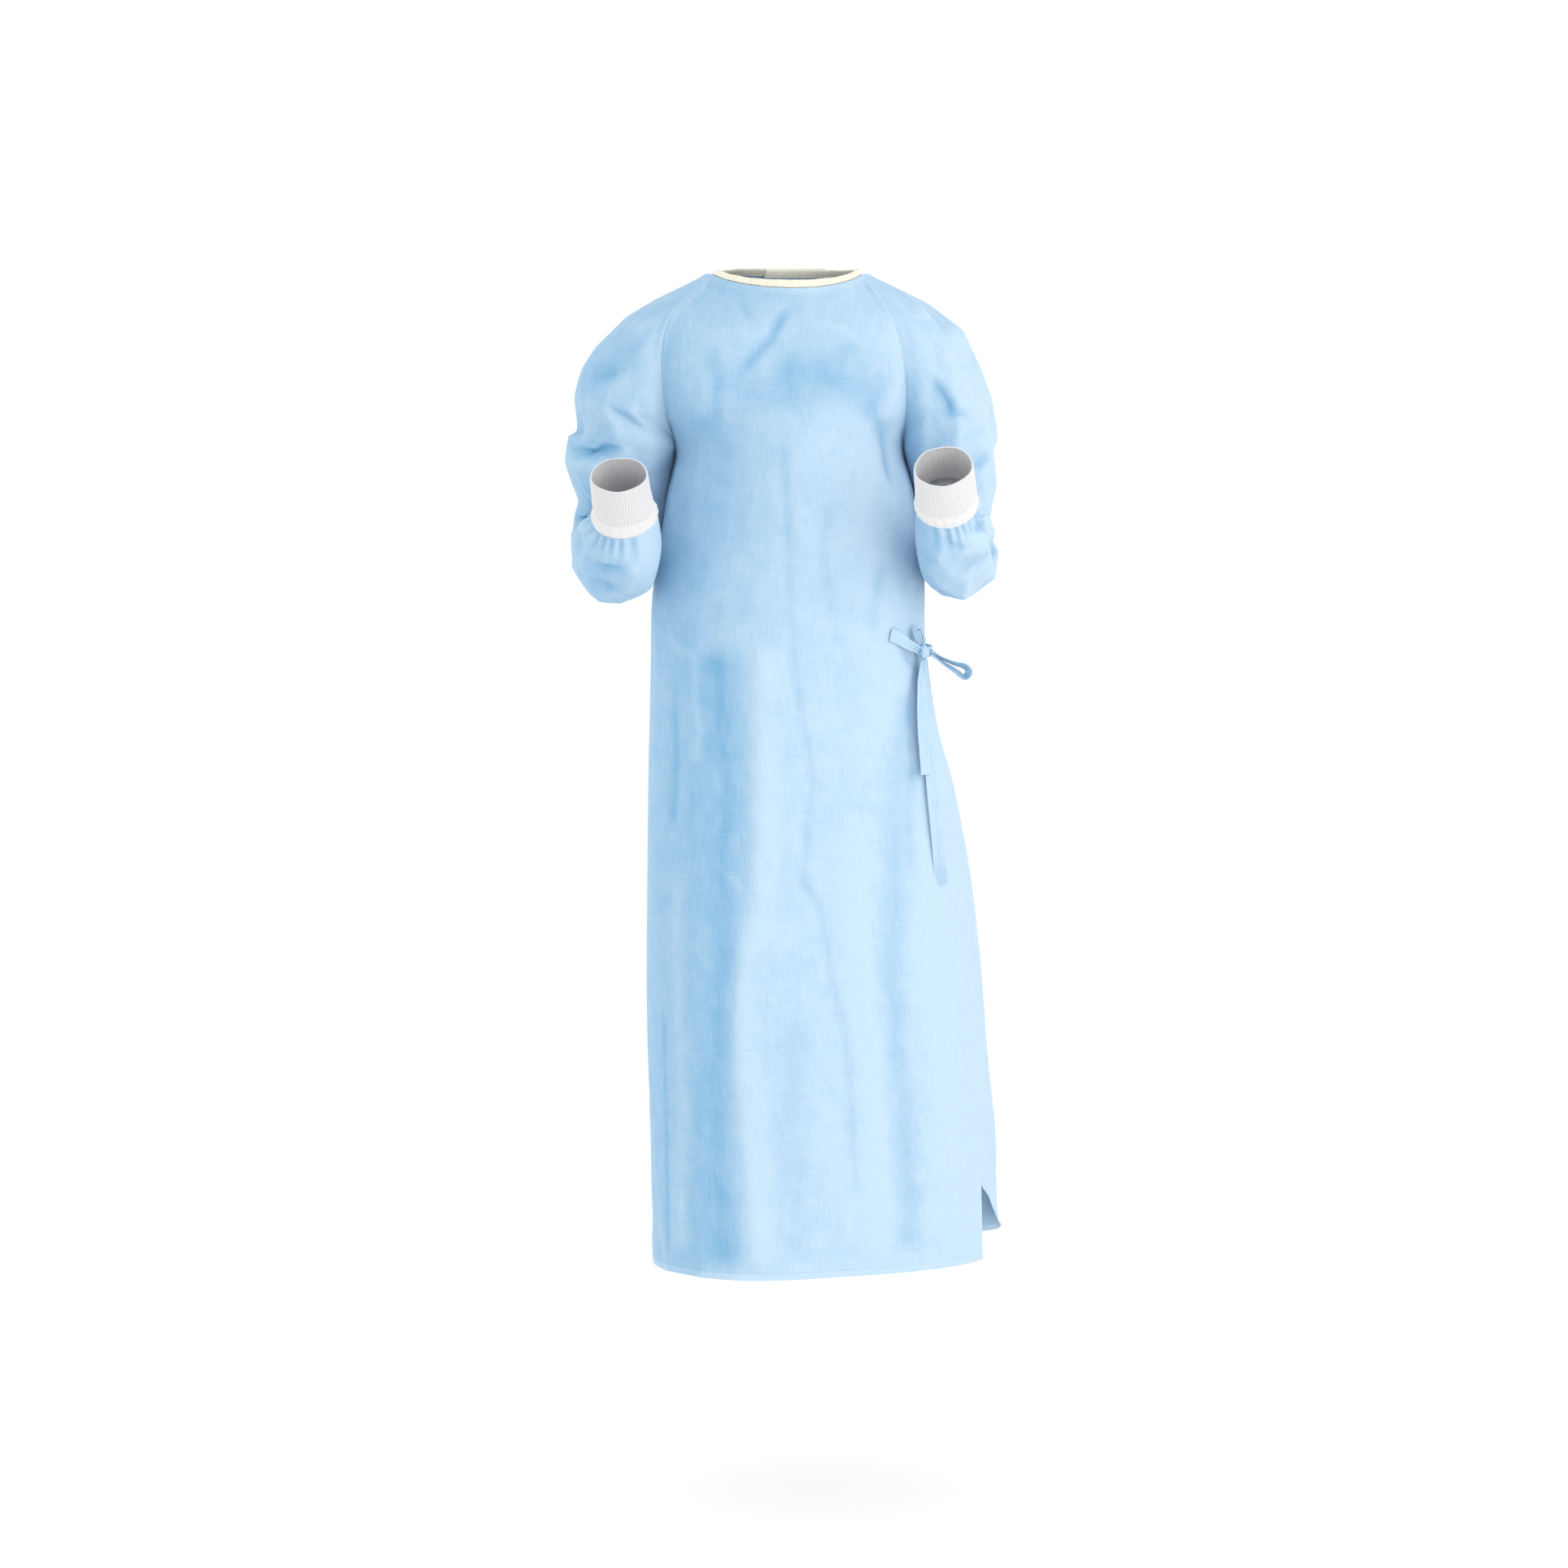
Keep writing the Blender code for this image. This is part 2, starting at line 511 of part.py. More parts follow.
def sleeve_grid(side):
    """A sleeve's outer points. Rows above the underarm run from the front seam over the shoulder to the back
    seam, and rows below it go right round. Every row starts and ends at the body's side."""
    rows = []
    for k in range(UPPER_LEVELS + 1):
        centre, out, depth, cut = head_ring(side, k / UPPER_LEVELS)
        reach = math.pi - cut
        turns = [-reach + 2 * reach * c / SLEEVE_SPOKES for c in range(SLEEVE_SPOKES + 1)]
        rows.append([centre + out * math.cos(turn) + depth * math.sin(turn) for turn in turns])
    sections = ARM_SECTIONS[side]
    for k, ((centre, away, under), section) in enumerate(zip(arm_frames(side), sections)):
        far, near, below, above = section[3:7]
        share = ease(k / SQUARE_FROM) * ease((len(sections) - 1 - k) / SQUARE_FROM)
        row = []
        for c in range(SLEEVE_SPOKES + 1):
            turn = -math.pi + 2 * math.pi * c / SLEEVE_SPOKES
            cos, sin = math.cos(turn), math.sin(turn)
            square = 2.0
            if sin > 0:
                square += (UNDER_SQUARE[side][0 if cos > 0 else 1] - 2.0) * share
            wide = math.copysign(abs(cos) ** (2 / square), cos) * (far if cos > 0 else near)
            deep = math.copysign(abs(sin) ** (2 / square), sin) * (below if sin > 0 else above)
            row.append(centre + away * wide + under * deep)
        rows.append(row)
    grid = np.array(rows)
    return grid if side == "left" else grid[:, ::-1]


def join_edges(first, first_edge, second, second_edge):
    """Give two grids the same normals along a shared seam, and draw both back so that a gap stays between them.

    An edge is (rows, column, the next column in)."""
    (grid_a, normals_a), (grid_b, normals_b) = first, second
    for row_a, row_b in zip(first_edge[0], second_edge[0]):
        col_a, next_a = first_edge[1:]
        col_b, next_b = second_edge[1:]
        normal = normals_a[row_a, col_a] + normals_b[row_b, col_b]
        if np.dot(normals_a[row_a, col_a], normals_b[row_b, col_b]) > 0.2:
            normals_a[row_a, col_a] = normals_b[row_b, col_b] = unit(normal)
        seam = (grid_a[row_a, col_a] + grid_b[row_b, col_b]) / 2
        into_a = unit(grid_a[row_a, next_a] - seam)
        into_b = unit(grid_b[row_b, next_b] - seam)
        apart = unit(into_a - into_b) * SEAM_GAP / 2
        grid_a[row_a, col_a] = seam + apart
        grid_b[row_b, col_b] = seam - apart


def material(name, colour, roughness):
    """A Principled material."""
    made = bpy.data.materials.new(name)
    made.use_nodes = True
    shader = made.node_tree.nodes["Principled BSDF"]
    shader.inputs["Base Color"].default_value = colour
    shader.inputs["Roughness"].default_value = roughness
    shader.inputs["Metallic"].default_value = 0.0
    return made


def add_object(name, points, faces, finish):
    """A mesh object."""
    mesh = bpy.data.meshes.new(name)
    mesh.from_pydata([tuple(point) for point in points], [], faces)
    mesh.validate()
    mesh.materials.append(finish)
    mesh.shade_smooth()
    mesh.set_sharp_from_angle(angle=math.radians(50))
    made = bpy.data.objects.new(name, mesh)
    bpy.context.scene.collection.objects.link(made)
    return made


def wall(name, grid, normals, thickness, finish, closed_from=None):
    """A closed solid: the grid as its outer face, the same grid moved in, and a rim along every open edge.

    From row `closed_from` on, a row's last point is its first one. Each cell is cut along its shorter diagonal,
    the same one in both faces, so that the wall keeps its thickness where a cell is twisted."""
    rows, columns = grid.shape[:2]
    number = {}
    outer, inner = [], []
    for r in range(rows):
        for c in range(columns):
            if closed_from is not None and r >= closed_from and c == columns - 1:
                number[r, c] = number[r, 0]
                continue
            number[r, c] = len(outer)
            outer.append(grid[r, c])
            inner.append(grid[r, c] - normals[r, c] * thickness)
    faces = []
    for r in range(rows - 1):
        for c in range(columns - 1):
            places = [(r, c), (r + 1, c), (r + 1, c + 1), (r, c + 1)]
            across = np.linalg.norm(grid[r, c] - grid[r + 1, c + 1])
            other = np.linalg.norm(grid[r + 1, c] - grid[r, c + 1])
            if other < across:
                places = places[1:] + places[:1]
            corners = [number[place] for place in places]
            faces += [[corners[0], corners[1], corners[2]], [corners[0], corners[2], corners[3]]]
    edges = {}
    for face in faces:
        for a, b in zip(face, face[1:] + face[:1]):
            edges[a, b] = edges.get((a, b), 0) + 1
    rim = [(a, b) for a, b in edges if (b, a) not in edges]
    count = len(outer)
    solid = list(faces)
    solid += [[corner + count for corner in reversed(face)] for face in faces]
    solid += [[b, a, a + count, b + count] for a, b in rim]
    return add_object(name, outer + inner, solid, finish)


def cuff(side, name, finish):
    """A knit tube on the sleeve's end, with the rolled seam at its foot."""
    centre = ARM_SECTIONS[side][-1, 0:3]
    forward = unit(CUFF_DIRECTION[side])
    outward = np.array([1.0 if side == "left" else -1.0, 0.0, 0.0])
    away = unit(outward - forward * np.dot(outward, forward))
    under = unit(np.cross(away, forward))
    foot = ARM_SECTIONS[side][-1, 3]
    shape = (
        # share of the length, radius
        (0.00, foot),
        (0.10, CUFF_ROLL_RADIUS[side] + CUFF_ROLL_BULGE),
        (0.22, CUFF_ROLL_RADIUS[side]),
        (0.32, CUFF_TOP_RADIUS[side] + CUFF_FLARE),
        (1.00, CUFF_TOP_RADIUS[side]),
    )
    turns = [2 * math.pi * c / CUFF_SPOKES for c in range(CUFF_SPOKES + 1)]
    rows = []
    for share, radius in shape:
        middle = centre + forward * (SEAM_GAP + share * CUFF_LENGTH)
        rows.append([middle + (away * math.cos(turn) + under * math.sin(turn)) * radius for turn in turns])
    grid = np.array(rows)
    grid = grid if side == "right" else grid[:, ::-1]
    return wall(name, grid, normals_of(grid, -1), KNIT, finish, 0)


def strip(name, middles, ups, outs, height, thickness, finish, closed=False):
    """A band of rectangular section along a path: it stands `height` along `ups`, centred on the path."""
    points, faces = [], []
    for k, (middle, up, out) in enumerate(zip(middles, ups, outs)):
        tall = height[k] if np.ndim(height) else height
        for a, b in ((-1, -1), (1, -1), (1, 1), (-1, 1)):
            points.append(middle + up * tall * 0.5 * a + out * thickness * 0.5 * b)
    count = len(middles)
    for k in range(count - (0 if closed else 1)):
        here, there = 4 * k, 4 * ((k + 1) % count)
        for a in range(4):
            b = (a + 1) % 4
            faces.append([here + a, here + b, there + b, there + a])
    if not closed:
        faces.append([3, 2, 1, 0])
        last = 4 * (count - 1)
        faces.append([last, last + 1, last + 2, last + 3])
    made = add_object(name, points, faces, finish)
    turn_outward(made)
    return made


def turn_outward(made):
    """Make a closed mesh's faces point out."""
    volume = 0.0
    mesh = made.data
    for polygon in mesh.polygons:
        corners = [np.array(mesh.vertices[v].co) for v in polygon.vertices]
        for k in range(1, len(corners) - 1):
            volume += np.dot(corners[0], np.cross(corners[k], corners[k + 1]))
    if volume < 0:
        mesh.flip_normals()


def neck_binding(grids, normals, finish):
    """The tape on the neck edge, from the inner layer's free edge round to the flap's, clear of the cloth."""
    path = []
    for name in ("inner", "sleeve_left", "front", "sleeve_right", "flap"):
        grid, normal = grids[name], normals[name]
        for c in reversed(range(grid.shape[1])):
            up = unit(grid[0, c] - grid[1, c])
            path.append((grid[0, c], up, normal[0, c]))
    kept = [(*path[0], False)]
    for edge, up, out in path[1:]:
        last = kept[-1]
        if np.linalg.norm(edge - last[0]) > 2 * SEAM_GAP:
            kept.append((edge, up, out, False))
        else:
            kept[-1] = (edge, unit(up + last[1]), unit(out + last[2]), True)
    edges = np.array([step[0] for step in kept])
    ups = np.array([step[1] for step in kept])
    outs = np.array([step[2] for step in kept])
    corners = np.array([1.0 if step[3] else 0.0 for step in kept])
    for _ in range(BINDING_SMOOTHING):
        for line in (ups, corners):
            line[1:-1] = (line[:-2] + 2 * line[1:-1] + line[2:]) / 4
    out = BINDING_PROUD - BINDING_THICKNESS / 2
    middles = []
    for k, edge in enumerate(edges):
        ups[k] = unit(ups[k])
        gap = BINDING_GAP + BINDING_CORNER_GAP * corners[k]
        middles.append(edge + ups[k] * (gap + BINDING_HEIGHT / 2) + outs[k] * out)
    return strip("neck_binding", middles, ups, outs, BINDING_HEIGHT, BINDING_THICKNESS, finish)


def on_level(round_, level, point):
    """A point of the form, with its outward and its upward directions."""
    around = point(round_ + ROUND_STEP, level) - point(round_ - ROUND_STEP, level)
    down = point(round_, level + LEVEL_STEP) - point(round_, level - LEVEL_STEP)
    return point(round_, level), unit(np.cross(down, around)), -unit(down)


def on_form(round_, drop, point):
    """A point on the broad folds of the form below the underarm, with its outward and its upward directions."""
    place, out, up = on_level(round_, level_of(drop), point)
    return place + out * fold_height(round_, drop), out, up


def ribbon(name, path, faces, tilts, widths, finish):
    """A ribbon along a path. At tilt 0 its face looks the way that `faces` gives."""
    ups, outs = [], []
    for k, (face, tilt) in enumerate(zip(faces, tilts)):
        forward = unit(path[min(k + 1, len(path) - 1)] - path[max(k - 1, 0)])
        flat = unit(face - forward * np.dot(face, forward))
        across = np.cross(forward, flat)
        turn = math.radians(tilt)
        outs.append(flat * math.cos(turn) + across * math.sin(turn))
        ups.append(across * math.cos(turn) - flat * math.sin(turn))
    return strip(name, path, ups, outs, widths, RIBBON, finish)


def panel_ribbon(name, table, point, finish):
    """A ribbon that lies on a panel."""
    path, faces, tilts, widths = [], [], [], []
    for k in range(RIBBON_STEPS + 1):
        round_, drop, out, tilt, width = read(table, k / RIBBON_STEPS)
        place, outward, _ = on_form(round_, drop, point)
        path.append(place + outward * out)
        faces.append(outward)
        tilts.append(tilt)
        widths.append(width)
    return ribbon(name, path, faces, tilts, widths, finish)


def loop_ribbon(name, table, middle, finish):
    """A loop of ribbon that stands free of the gown, placed from the knot's middle."""
    steps = RIBBON_STEPS * 2
    rows = [read(table, k / steps) for k in range(steps + 1)]
    path = [middle + row[0:3] for row in rows]
    faces = []
    for k in range(steps + 1):
        forward = unit(path[min(k + 1, steps)] - path[max(k - 1, 0)])
        faces.append(unit(np.cross(forward, (0.0, 1.0, 0.0))))
    return ribbon(name, path, faces, [row[3] for row in rows], [row[4] for row in rows], finish)


def belt_knot(middle, outward, up, finish):
    """The knot: a rounded lump of wrapped ribbon."""
    along = np.cross(up, outward)
    rings, spokes = 8, 12
    points = [middle + up * KNOT_RADII[2]]
    for r in range(1, rings):
        polar = math.pi * r / rings
        for c in range(spokes):
            turn = 2 * math.pi * c / spokes
            points.append(
                middle + up * KNOT_RADII[2] * math.cos(polar)
                + along * KNOT_RADII[0] * math.sin(polar) * math.cos(turn)
                + outward * KNOT_RADII[1] * math.sin(polar) * math.sin(turn))
    points.append(middle - up * KNOT_RADII[2])
    last = len(points) - 1
    faces = []
    for c in range(spokes):
        after = (c + 1) % spokes
        faces.append([0, 1 + c, 1 + after])
        for r in range(rings - 2):
            here = 1 + r * spokes
            faces.append([here + c, here + spokes + c, here + spokes + after, here + after])
        foot = 1 + (rings - 2) * spokes
        faces.append([last, foot + after, foot + c])
    made = add_object("belt_knot", points, faces, finish)
    turn_outward(made)
    return made


def neck_tab(finish):
    """The hook-and-loop tab, half on the flap and half on the inner layer."""
    middles, ups, outs = [], [], []
    edge = flap_edge(TAB_LEVEL)
    span = back_point(edge + ROUND_STEP, TAB_LEVEL) - back_point(edge - ROUND_STEP, TAB_LEVEL)
    girth = np.linalg.norm(span) / (2 * ROUND_STEP)
    for k in range(TAB_STEPS + 1):
        along = (k / TAB_STEPS - 0.5) * TAB_LENGTH
        base, out, up = on_level(edge + along / girth, TAB_LEVEL, back_point)
        climb = OVERLAP_OUT * ease(along / TAB_CLIMB + 1.2)
        middles.append(base + out * (2 * SEAM_GAP + TAB_THICKNESS / 2 + climb))
        ups.append(up)
        outs.append(out)
    return strip("neck_tab", middles, ups, outs, TAB_HEIGHT, TAB_THICKNESS, finish)


def main():
    for made in list(bpy.data.objects):
        bpy.data.objects.remove(made, do_unlink=True)
    cloth = material("gown_cloth", CLOTH_BLUE, 0.75)
    knit = material("rib_knit", KNIT_WHITE, 0.9)
    tape = material("binding_tape", BINDING_CREAM, 0.7)
    hook = material("hook_tab", TAB_WHITE, 0.8)
    ribbon_cloth = material("ribbon_cloth", RIBBON_BLUE, 0.75)

    grids = {
        "front": front_grid(),
        "inner": inner_grid(),
        "flap": flap_grid(),
        "sleeve_left": sleeve_grid("left"),
        "sleeve_right": sleeve_grid("right"),
    }
    closed = {"sleeve_left": UPPER_LEVELS, "sleeve_right": UPPER_LEVELS}
    normals = {name: normals_of(grid, closed.get(name)) for name, grid in grids.items()}
    pieces = {name: (grids[name], normals[name]) for name in grids}
    upper = range(UPPER_LEVELS + 1)
    lower = range(UPPER_LEVELS, len(body_levels()))
    join_edges(pieces["front"], (upper, -1, -2), pieces["sleeve_left"], (upper, 0, 1))
    join_edges(pieces["front"], (upper, 0, 1), pieces["sleeve_right"], (upper, -1, -2))
    join_edges(pieces["inner"], (upper, 0, 1), pieces["sleeve_left"], (upper, -1, -2))
    join_edges(pieces["flap"], (upper, -1, -2), pieces["sleeve_right"], (upper, 0, 1))
    join_edges(pieces["front"], (lower, -1, -2), pieces["inner"], (lower, 0, 1))
    join_edges(pieces["front"], (lower, 0, 1), pieces["flap"], (lower, -1, -2))

    neck_binding(grids, normals, tape)
    wall("front_panel", *pieces["front"], CLOTH, cloth)
    wall("back_panel_left", *pieces["inner"], CLOTH, cloth)
    wall("back_flap_right", *pieces["flap"], CLOTH, cloth)
    wall("sleeve_left", *pieces["sleeve_left"], CLOTH, cloth, UPPER_LEVELS)
    wall("sleeve_right", *pieces["sleeve_right"], CLOTH, cloth, UPPER_LEVELS)
    cuff("left", "cuff_left", knit)
    cuff("right", "cuff_right", knit)
    neck_tab(hook)

    place, outward, up = on_form(KNOT_ROUND, KNOT_DROP, body_point)
    middle = place + outward * KNOT_OUT
    belt_knot(middle, outward, up, ribbon_cloth)
    panel_ribbon("tie_front", TIE_FRONT, body_point, ribbon_cloth)
    panel_ribbon("tie_back", TIE_BACK, body_point, ribbon_cloth)
    panel_ribbon("belt_end_short", BELT_END_SHORT, body_point, ribbon_cloth)
    panel_ribbon("belt_end_long", BELT_END_LONG, body_point, ribbon_cloth)
    loop_ribbon("belt_bow_loop", BOW_LOOP, middle, ribbon_cloth)
    loop_ribbon("belt_ear_loop", EAR_LOOP, middle, ribbon_cloth)


main()
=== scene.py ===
# %% [markdown]
# # A surgical gown, in its worn shape
#
# A disposable surgical gown is cut from non-woven cloth: one front, two backs that overlap, and two raglan
# sleeves that run up to the neck. Cream tape binds the neck, the sleeves end in knit cuffs, and a belt ties
# at the wearer's left hip. Here it keeps the shape that it has when worn, hollow inside.
#
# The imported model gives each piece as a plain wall. This script gives each piece its fine shell: it reads a
# wall's points back as rows and columns, draws smooth curves through them, and then lays the creases, seams,
# stitches and finishes on that form.

# %% Load the frame
import math

import bmesh
import bpy
import numpy as np
from mathutils import Matrix, Vector
from mathutils.bvhtree import BVHTree
from mathutils.geometry import delaunay_2d_cdt


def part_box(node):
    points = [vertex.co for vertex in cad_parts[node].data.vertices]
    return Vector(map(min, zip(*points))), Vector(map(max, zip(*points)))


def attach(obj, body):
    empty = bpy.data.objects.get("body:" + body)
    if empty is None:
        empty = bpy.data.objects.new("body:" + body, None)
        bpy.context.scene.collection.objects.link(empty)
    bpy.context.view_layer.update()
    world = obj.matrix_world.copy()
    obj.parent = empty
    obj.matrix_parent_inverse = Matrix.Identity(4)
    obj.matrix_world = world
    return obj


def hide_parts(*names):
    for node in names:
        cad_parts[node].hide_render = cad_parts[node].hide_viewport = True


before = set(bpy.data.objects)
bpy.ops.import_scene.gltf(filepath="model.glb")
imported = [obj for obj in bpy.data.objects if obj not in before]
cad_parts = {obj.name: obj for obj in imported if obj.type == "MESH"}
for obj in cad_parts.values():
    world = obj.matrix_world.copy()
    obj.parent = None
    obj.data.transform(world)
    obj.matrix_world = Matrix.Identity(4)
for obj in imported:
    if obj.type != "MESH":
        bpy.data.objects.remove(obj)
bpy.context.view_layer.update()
BODY = "root"
print("nodes:", ", ".join(sorted(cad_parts)))

# %% [markdown]
# ## Camera, light and floor
#
# The gown is seen from straight in front, from so far away that its sides hardly converge, and from a little
# above its middle. A long lens four metres away does that, and a small tilt sets its height in the frame
# without a lens shift.

# %% Camera
CAMERA_PLACE = (-0.0038, -4.0, -0.354)
CAMERA_TILT = 3.6                # degrees below the horizon
LENS = 77.6                      # millimetres, on a sensor 36 mm wide

camera_data = bpy.data.cameras.new("camera")
camera_data.lens = LENS
camera_data.sensor_width = 36.0
camera_data.sensor_fit = "HORIZONTAL"
camera = bpy.data.objects.new("camera", camera_data)
camera.location = CAMERA_PLACE
camera.rotation_euler = (math.radians(90.0 - CAMERA_TILT), 0.0, 0.0)
bpy.context.scene.collection.objects.link(camera)
bpy.context.scene.camera = camera
bpy.context.scene.view_settings.view_transform = "Standard"
print("camera", CAMERA_PLACE, "lens", LENS)

# %% [markdown]
# Studio light on pale cloth comes from big soft sources. The key light is a wide panel at the front on the
# wearer's left, so the gown's other side falls into a soft shade, made bluer by painted shade on the cloth.
# A bright white surround fills every hollow and leaves no horizon, so the lamps only have to model the folds.

# %% Lights and surround
LIGHTS = (
    # name, place, aim, width and height in metres, power in watts, colour
    ("key", (2.3, -2.6, 0.5), (0.0, 0.0, -0.5), (3.2, 3.0), 34.0, (1.0, 0.98, 0.95)),
    ("left_rim", (-2.4, 1.0, 0.2), (0.0, 0.0, -0.6), (0.9, 2.4), 10.0, (1.0, 1.0, 1.0)),
)
SURROUND = (1.0, 1.0, 1.0)
SURROUND_STRENGTH = 1.07


def aimed(place, target):
    """The rotation that turns a light at `place` towards `target`."""
    return (Vector(target) - Vector(place)).to_track_quat("-Z", "Y").to_euler()


for name, place, target, (width, height), power, colour in LIGHTS:
    light = bpy.data.lights.new(name, "AREA")
    light.shape = "RECTANGLE"
    light.size = width
    light.size_y = height
    light.energy = power
    light.color = colour
    lamp = bpy.data.objects.new(name, light)
    lamp.location = place
    lamp.rotation_euler = aimed(place, target)
    bpy.context.scene.collection.objects.link(lamp)

world = bpy.data.worlds.new("surround")
world.use_nodes = True
world.node_tree.nodes["Background"].inputs["Color"].default_value = (*SURROUND, 1.0)
world.node_tree.nodes["Background"].inputs["Strength"].default_value = SURROUND_STRENGTH
bpy.context.scene.world = world
print(len(LIGHTS), "lights")

# %% [markdown]
# ## Writing materials as sums
#
# A procedural finish is a graph of nodes. Long graphs are easier to read as sums, so one small class wraps a
# node's output and lets Python's own signs add the Math nodes. Every other node comes from one method.


# %% Node sums
class Value:
    """One output of a node tree, with arithmetic."""

    def __init__(self, maker, socket):
        self.maker = maker
        self.socket = socket

    def __add__(self, other):
        return self.maker.math("ADD", self, other)

    def __radd__(self, other):
        return self.maker.math("ADD", other, self)

    def __sub__(self, other):
        return self.maker.math("SUBTRACT", self, other)

    def __rsub__(self, other):
        return self.maker.math("SUBTRACT", other, self)

    def __mul__(self, other):
        return self.maker.math("MULTIPLY", self, other)

    def __rmul__(self, other):
        return self.maker.math("MULTIPLY", other, self)


class Maker:
    """Adds nodes to one node tree."""

    def __init__(self, tree):
        self.tree = tree

    def node(self, kind, settings=(), inputs=(), output=0):
        """A node of a kind. Its settings come first, then the values or links of its sockets."""
        made = self.tree.nodes.new(kind)
        for name, value in dict(settings).items():
            setattr(made, name, value)
        for key, value in dict(inputs).items():
            if isinstance(value, Value):
                self.tree.links.new(value.socket, made.inputs[key])
            else:
                made.inputs[key].default_value = value
        return Value(self, made.outputs[output])

    def math(self, operation, first, second=0.0):
        return self.node("ShaderNodeMath", {"operation": operation}, {0: first, 1: second})

    def noise(self, vector, scale, detail=2.0, roughness=0.5):
        """Soft random values about 0.5."""
        return self.node(
            "ShaderNodeTexNoise", {},
            {"Vector": vector, "Scale": scale, "Detail": detail, "Roughness": roughness})

    def stretched(self, vector, x, y, z=1.0):
        """A vector whose parts are scaled, which stretches a pattern the other way."""
        return self.node("ShaderNodeVectorMath", {"operation": "MULTIPLY"}, {0: vector, 1: (x, y, z)})

    def mixed(self, share, first, second):
        """Two colours mixed by a share."""
        return self.node(
            "ShaderNodeMix", {"data_type": "RGBA"}, {0: share, 6: first, 7: second}, output=2)

    def clamped(self, value, low, high):
        """A value mapped from low..high to 0..1 and held there."""
        return self.node("ShaderNodeMapRange", {"clamp": True}, {"Value": value, 1: low, 2: high})

    def parts(self, vector):
        """A place's parts: across and down."""
        across = self.node("ShaderNodeSeparateXYZ", {}, {0: vector})
        return across, Value(self, across.socket.node.outputs[1])

    def painted(self, name):
        """A number that the mesh holds at each of its points."""
        return self.node("ShaderNodeAttribute", {"attribute_name": name}, output=2)

    def bump(self, height, strength, distance):
        return self.node(
            "ShaderNodeBump", {}, {"Height": height, "Strength": strength, "Distance": distance})


def new_material(name):
    """A material with nodes, its maker, and a way to feed its Principled shader."""
    made = bpy.data.materials.new(name)
    made.use_nodes = True
    shader = made.node_tree.nodes["Principled BSDF"]

    def feed(**values):
        for key, value in values.items():
            socket = shader.inputs[key.replace("_", " ")]
            if isinstance(value, Value):
                made.node_tree.links.new(value.socket, socket)
            else:
                socket.default_value = value

    return made, Maker(made.node_tree), feed


print("node sums ready")

# %% [markdown]
# ## The gown's cloth
#
# Surgical non-woven is three thin webs of plastic fibre fused by heat. Close up it has tiny pressed points in
# rows; further off it shows faint streaks along and across the web and soft clouds where the fibres lie
# thicker. It is matt, with a pale bloom where it turns from the eye. The pattern runs on each panel's own
# map, which is in metres, so that it follows the cut of the cloth.
#
# Four numbers that the mesh carries say more. Troughs get painted shade, bluer than ridges, as light that
# bounces between two blue walls loses its red, and cloth turned from the window side gets a little bluer
# painted shade too. A sewn seam is four layers thick and a turned hem two, so both are paler, and the hem has
# a pressed line along its top. Last come the sharp lines that folding for the pack has left, straight down
# and across a panel.

# %% Gown cloth
CLOTH_PALE = (0.495, 0.655, 0.800, 1.0)
CLOTH_MOTTLE_AND_SHADE = (0.070, 0.325, 0.575, 1.0)
STREAKS_DOWN = (640.0, 38.0)     # cells of noise a metre, across and down
STREAKS_ACROSS = (34.0, 560.0)
CLOUDS = 30.0                    # cells of noise a metre
PRESSED_POINTS = 700.0           # a metre
SEAM_LINE = 0.0016               # half the width in which a seam's layers show
HEM_HEIGHT = 0.0090
HEM_LINE = HEM_HEIGHT - 0.0008   # the height of the pressed line
HEM_BLUR = 0.0004
PACK_LINE = 0.0016               # half the width of a line that folding has left
PACK_WANDER = 0.010              # metres in all that such a line strays
PACK_LINES_DOWN = (0.165, 0.405, 0.640, 0.868)      # metres below the neck on a panel's map
PACK_LINES_ROUND = (-0.118, 0.126)                  # metres from a panel's middle


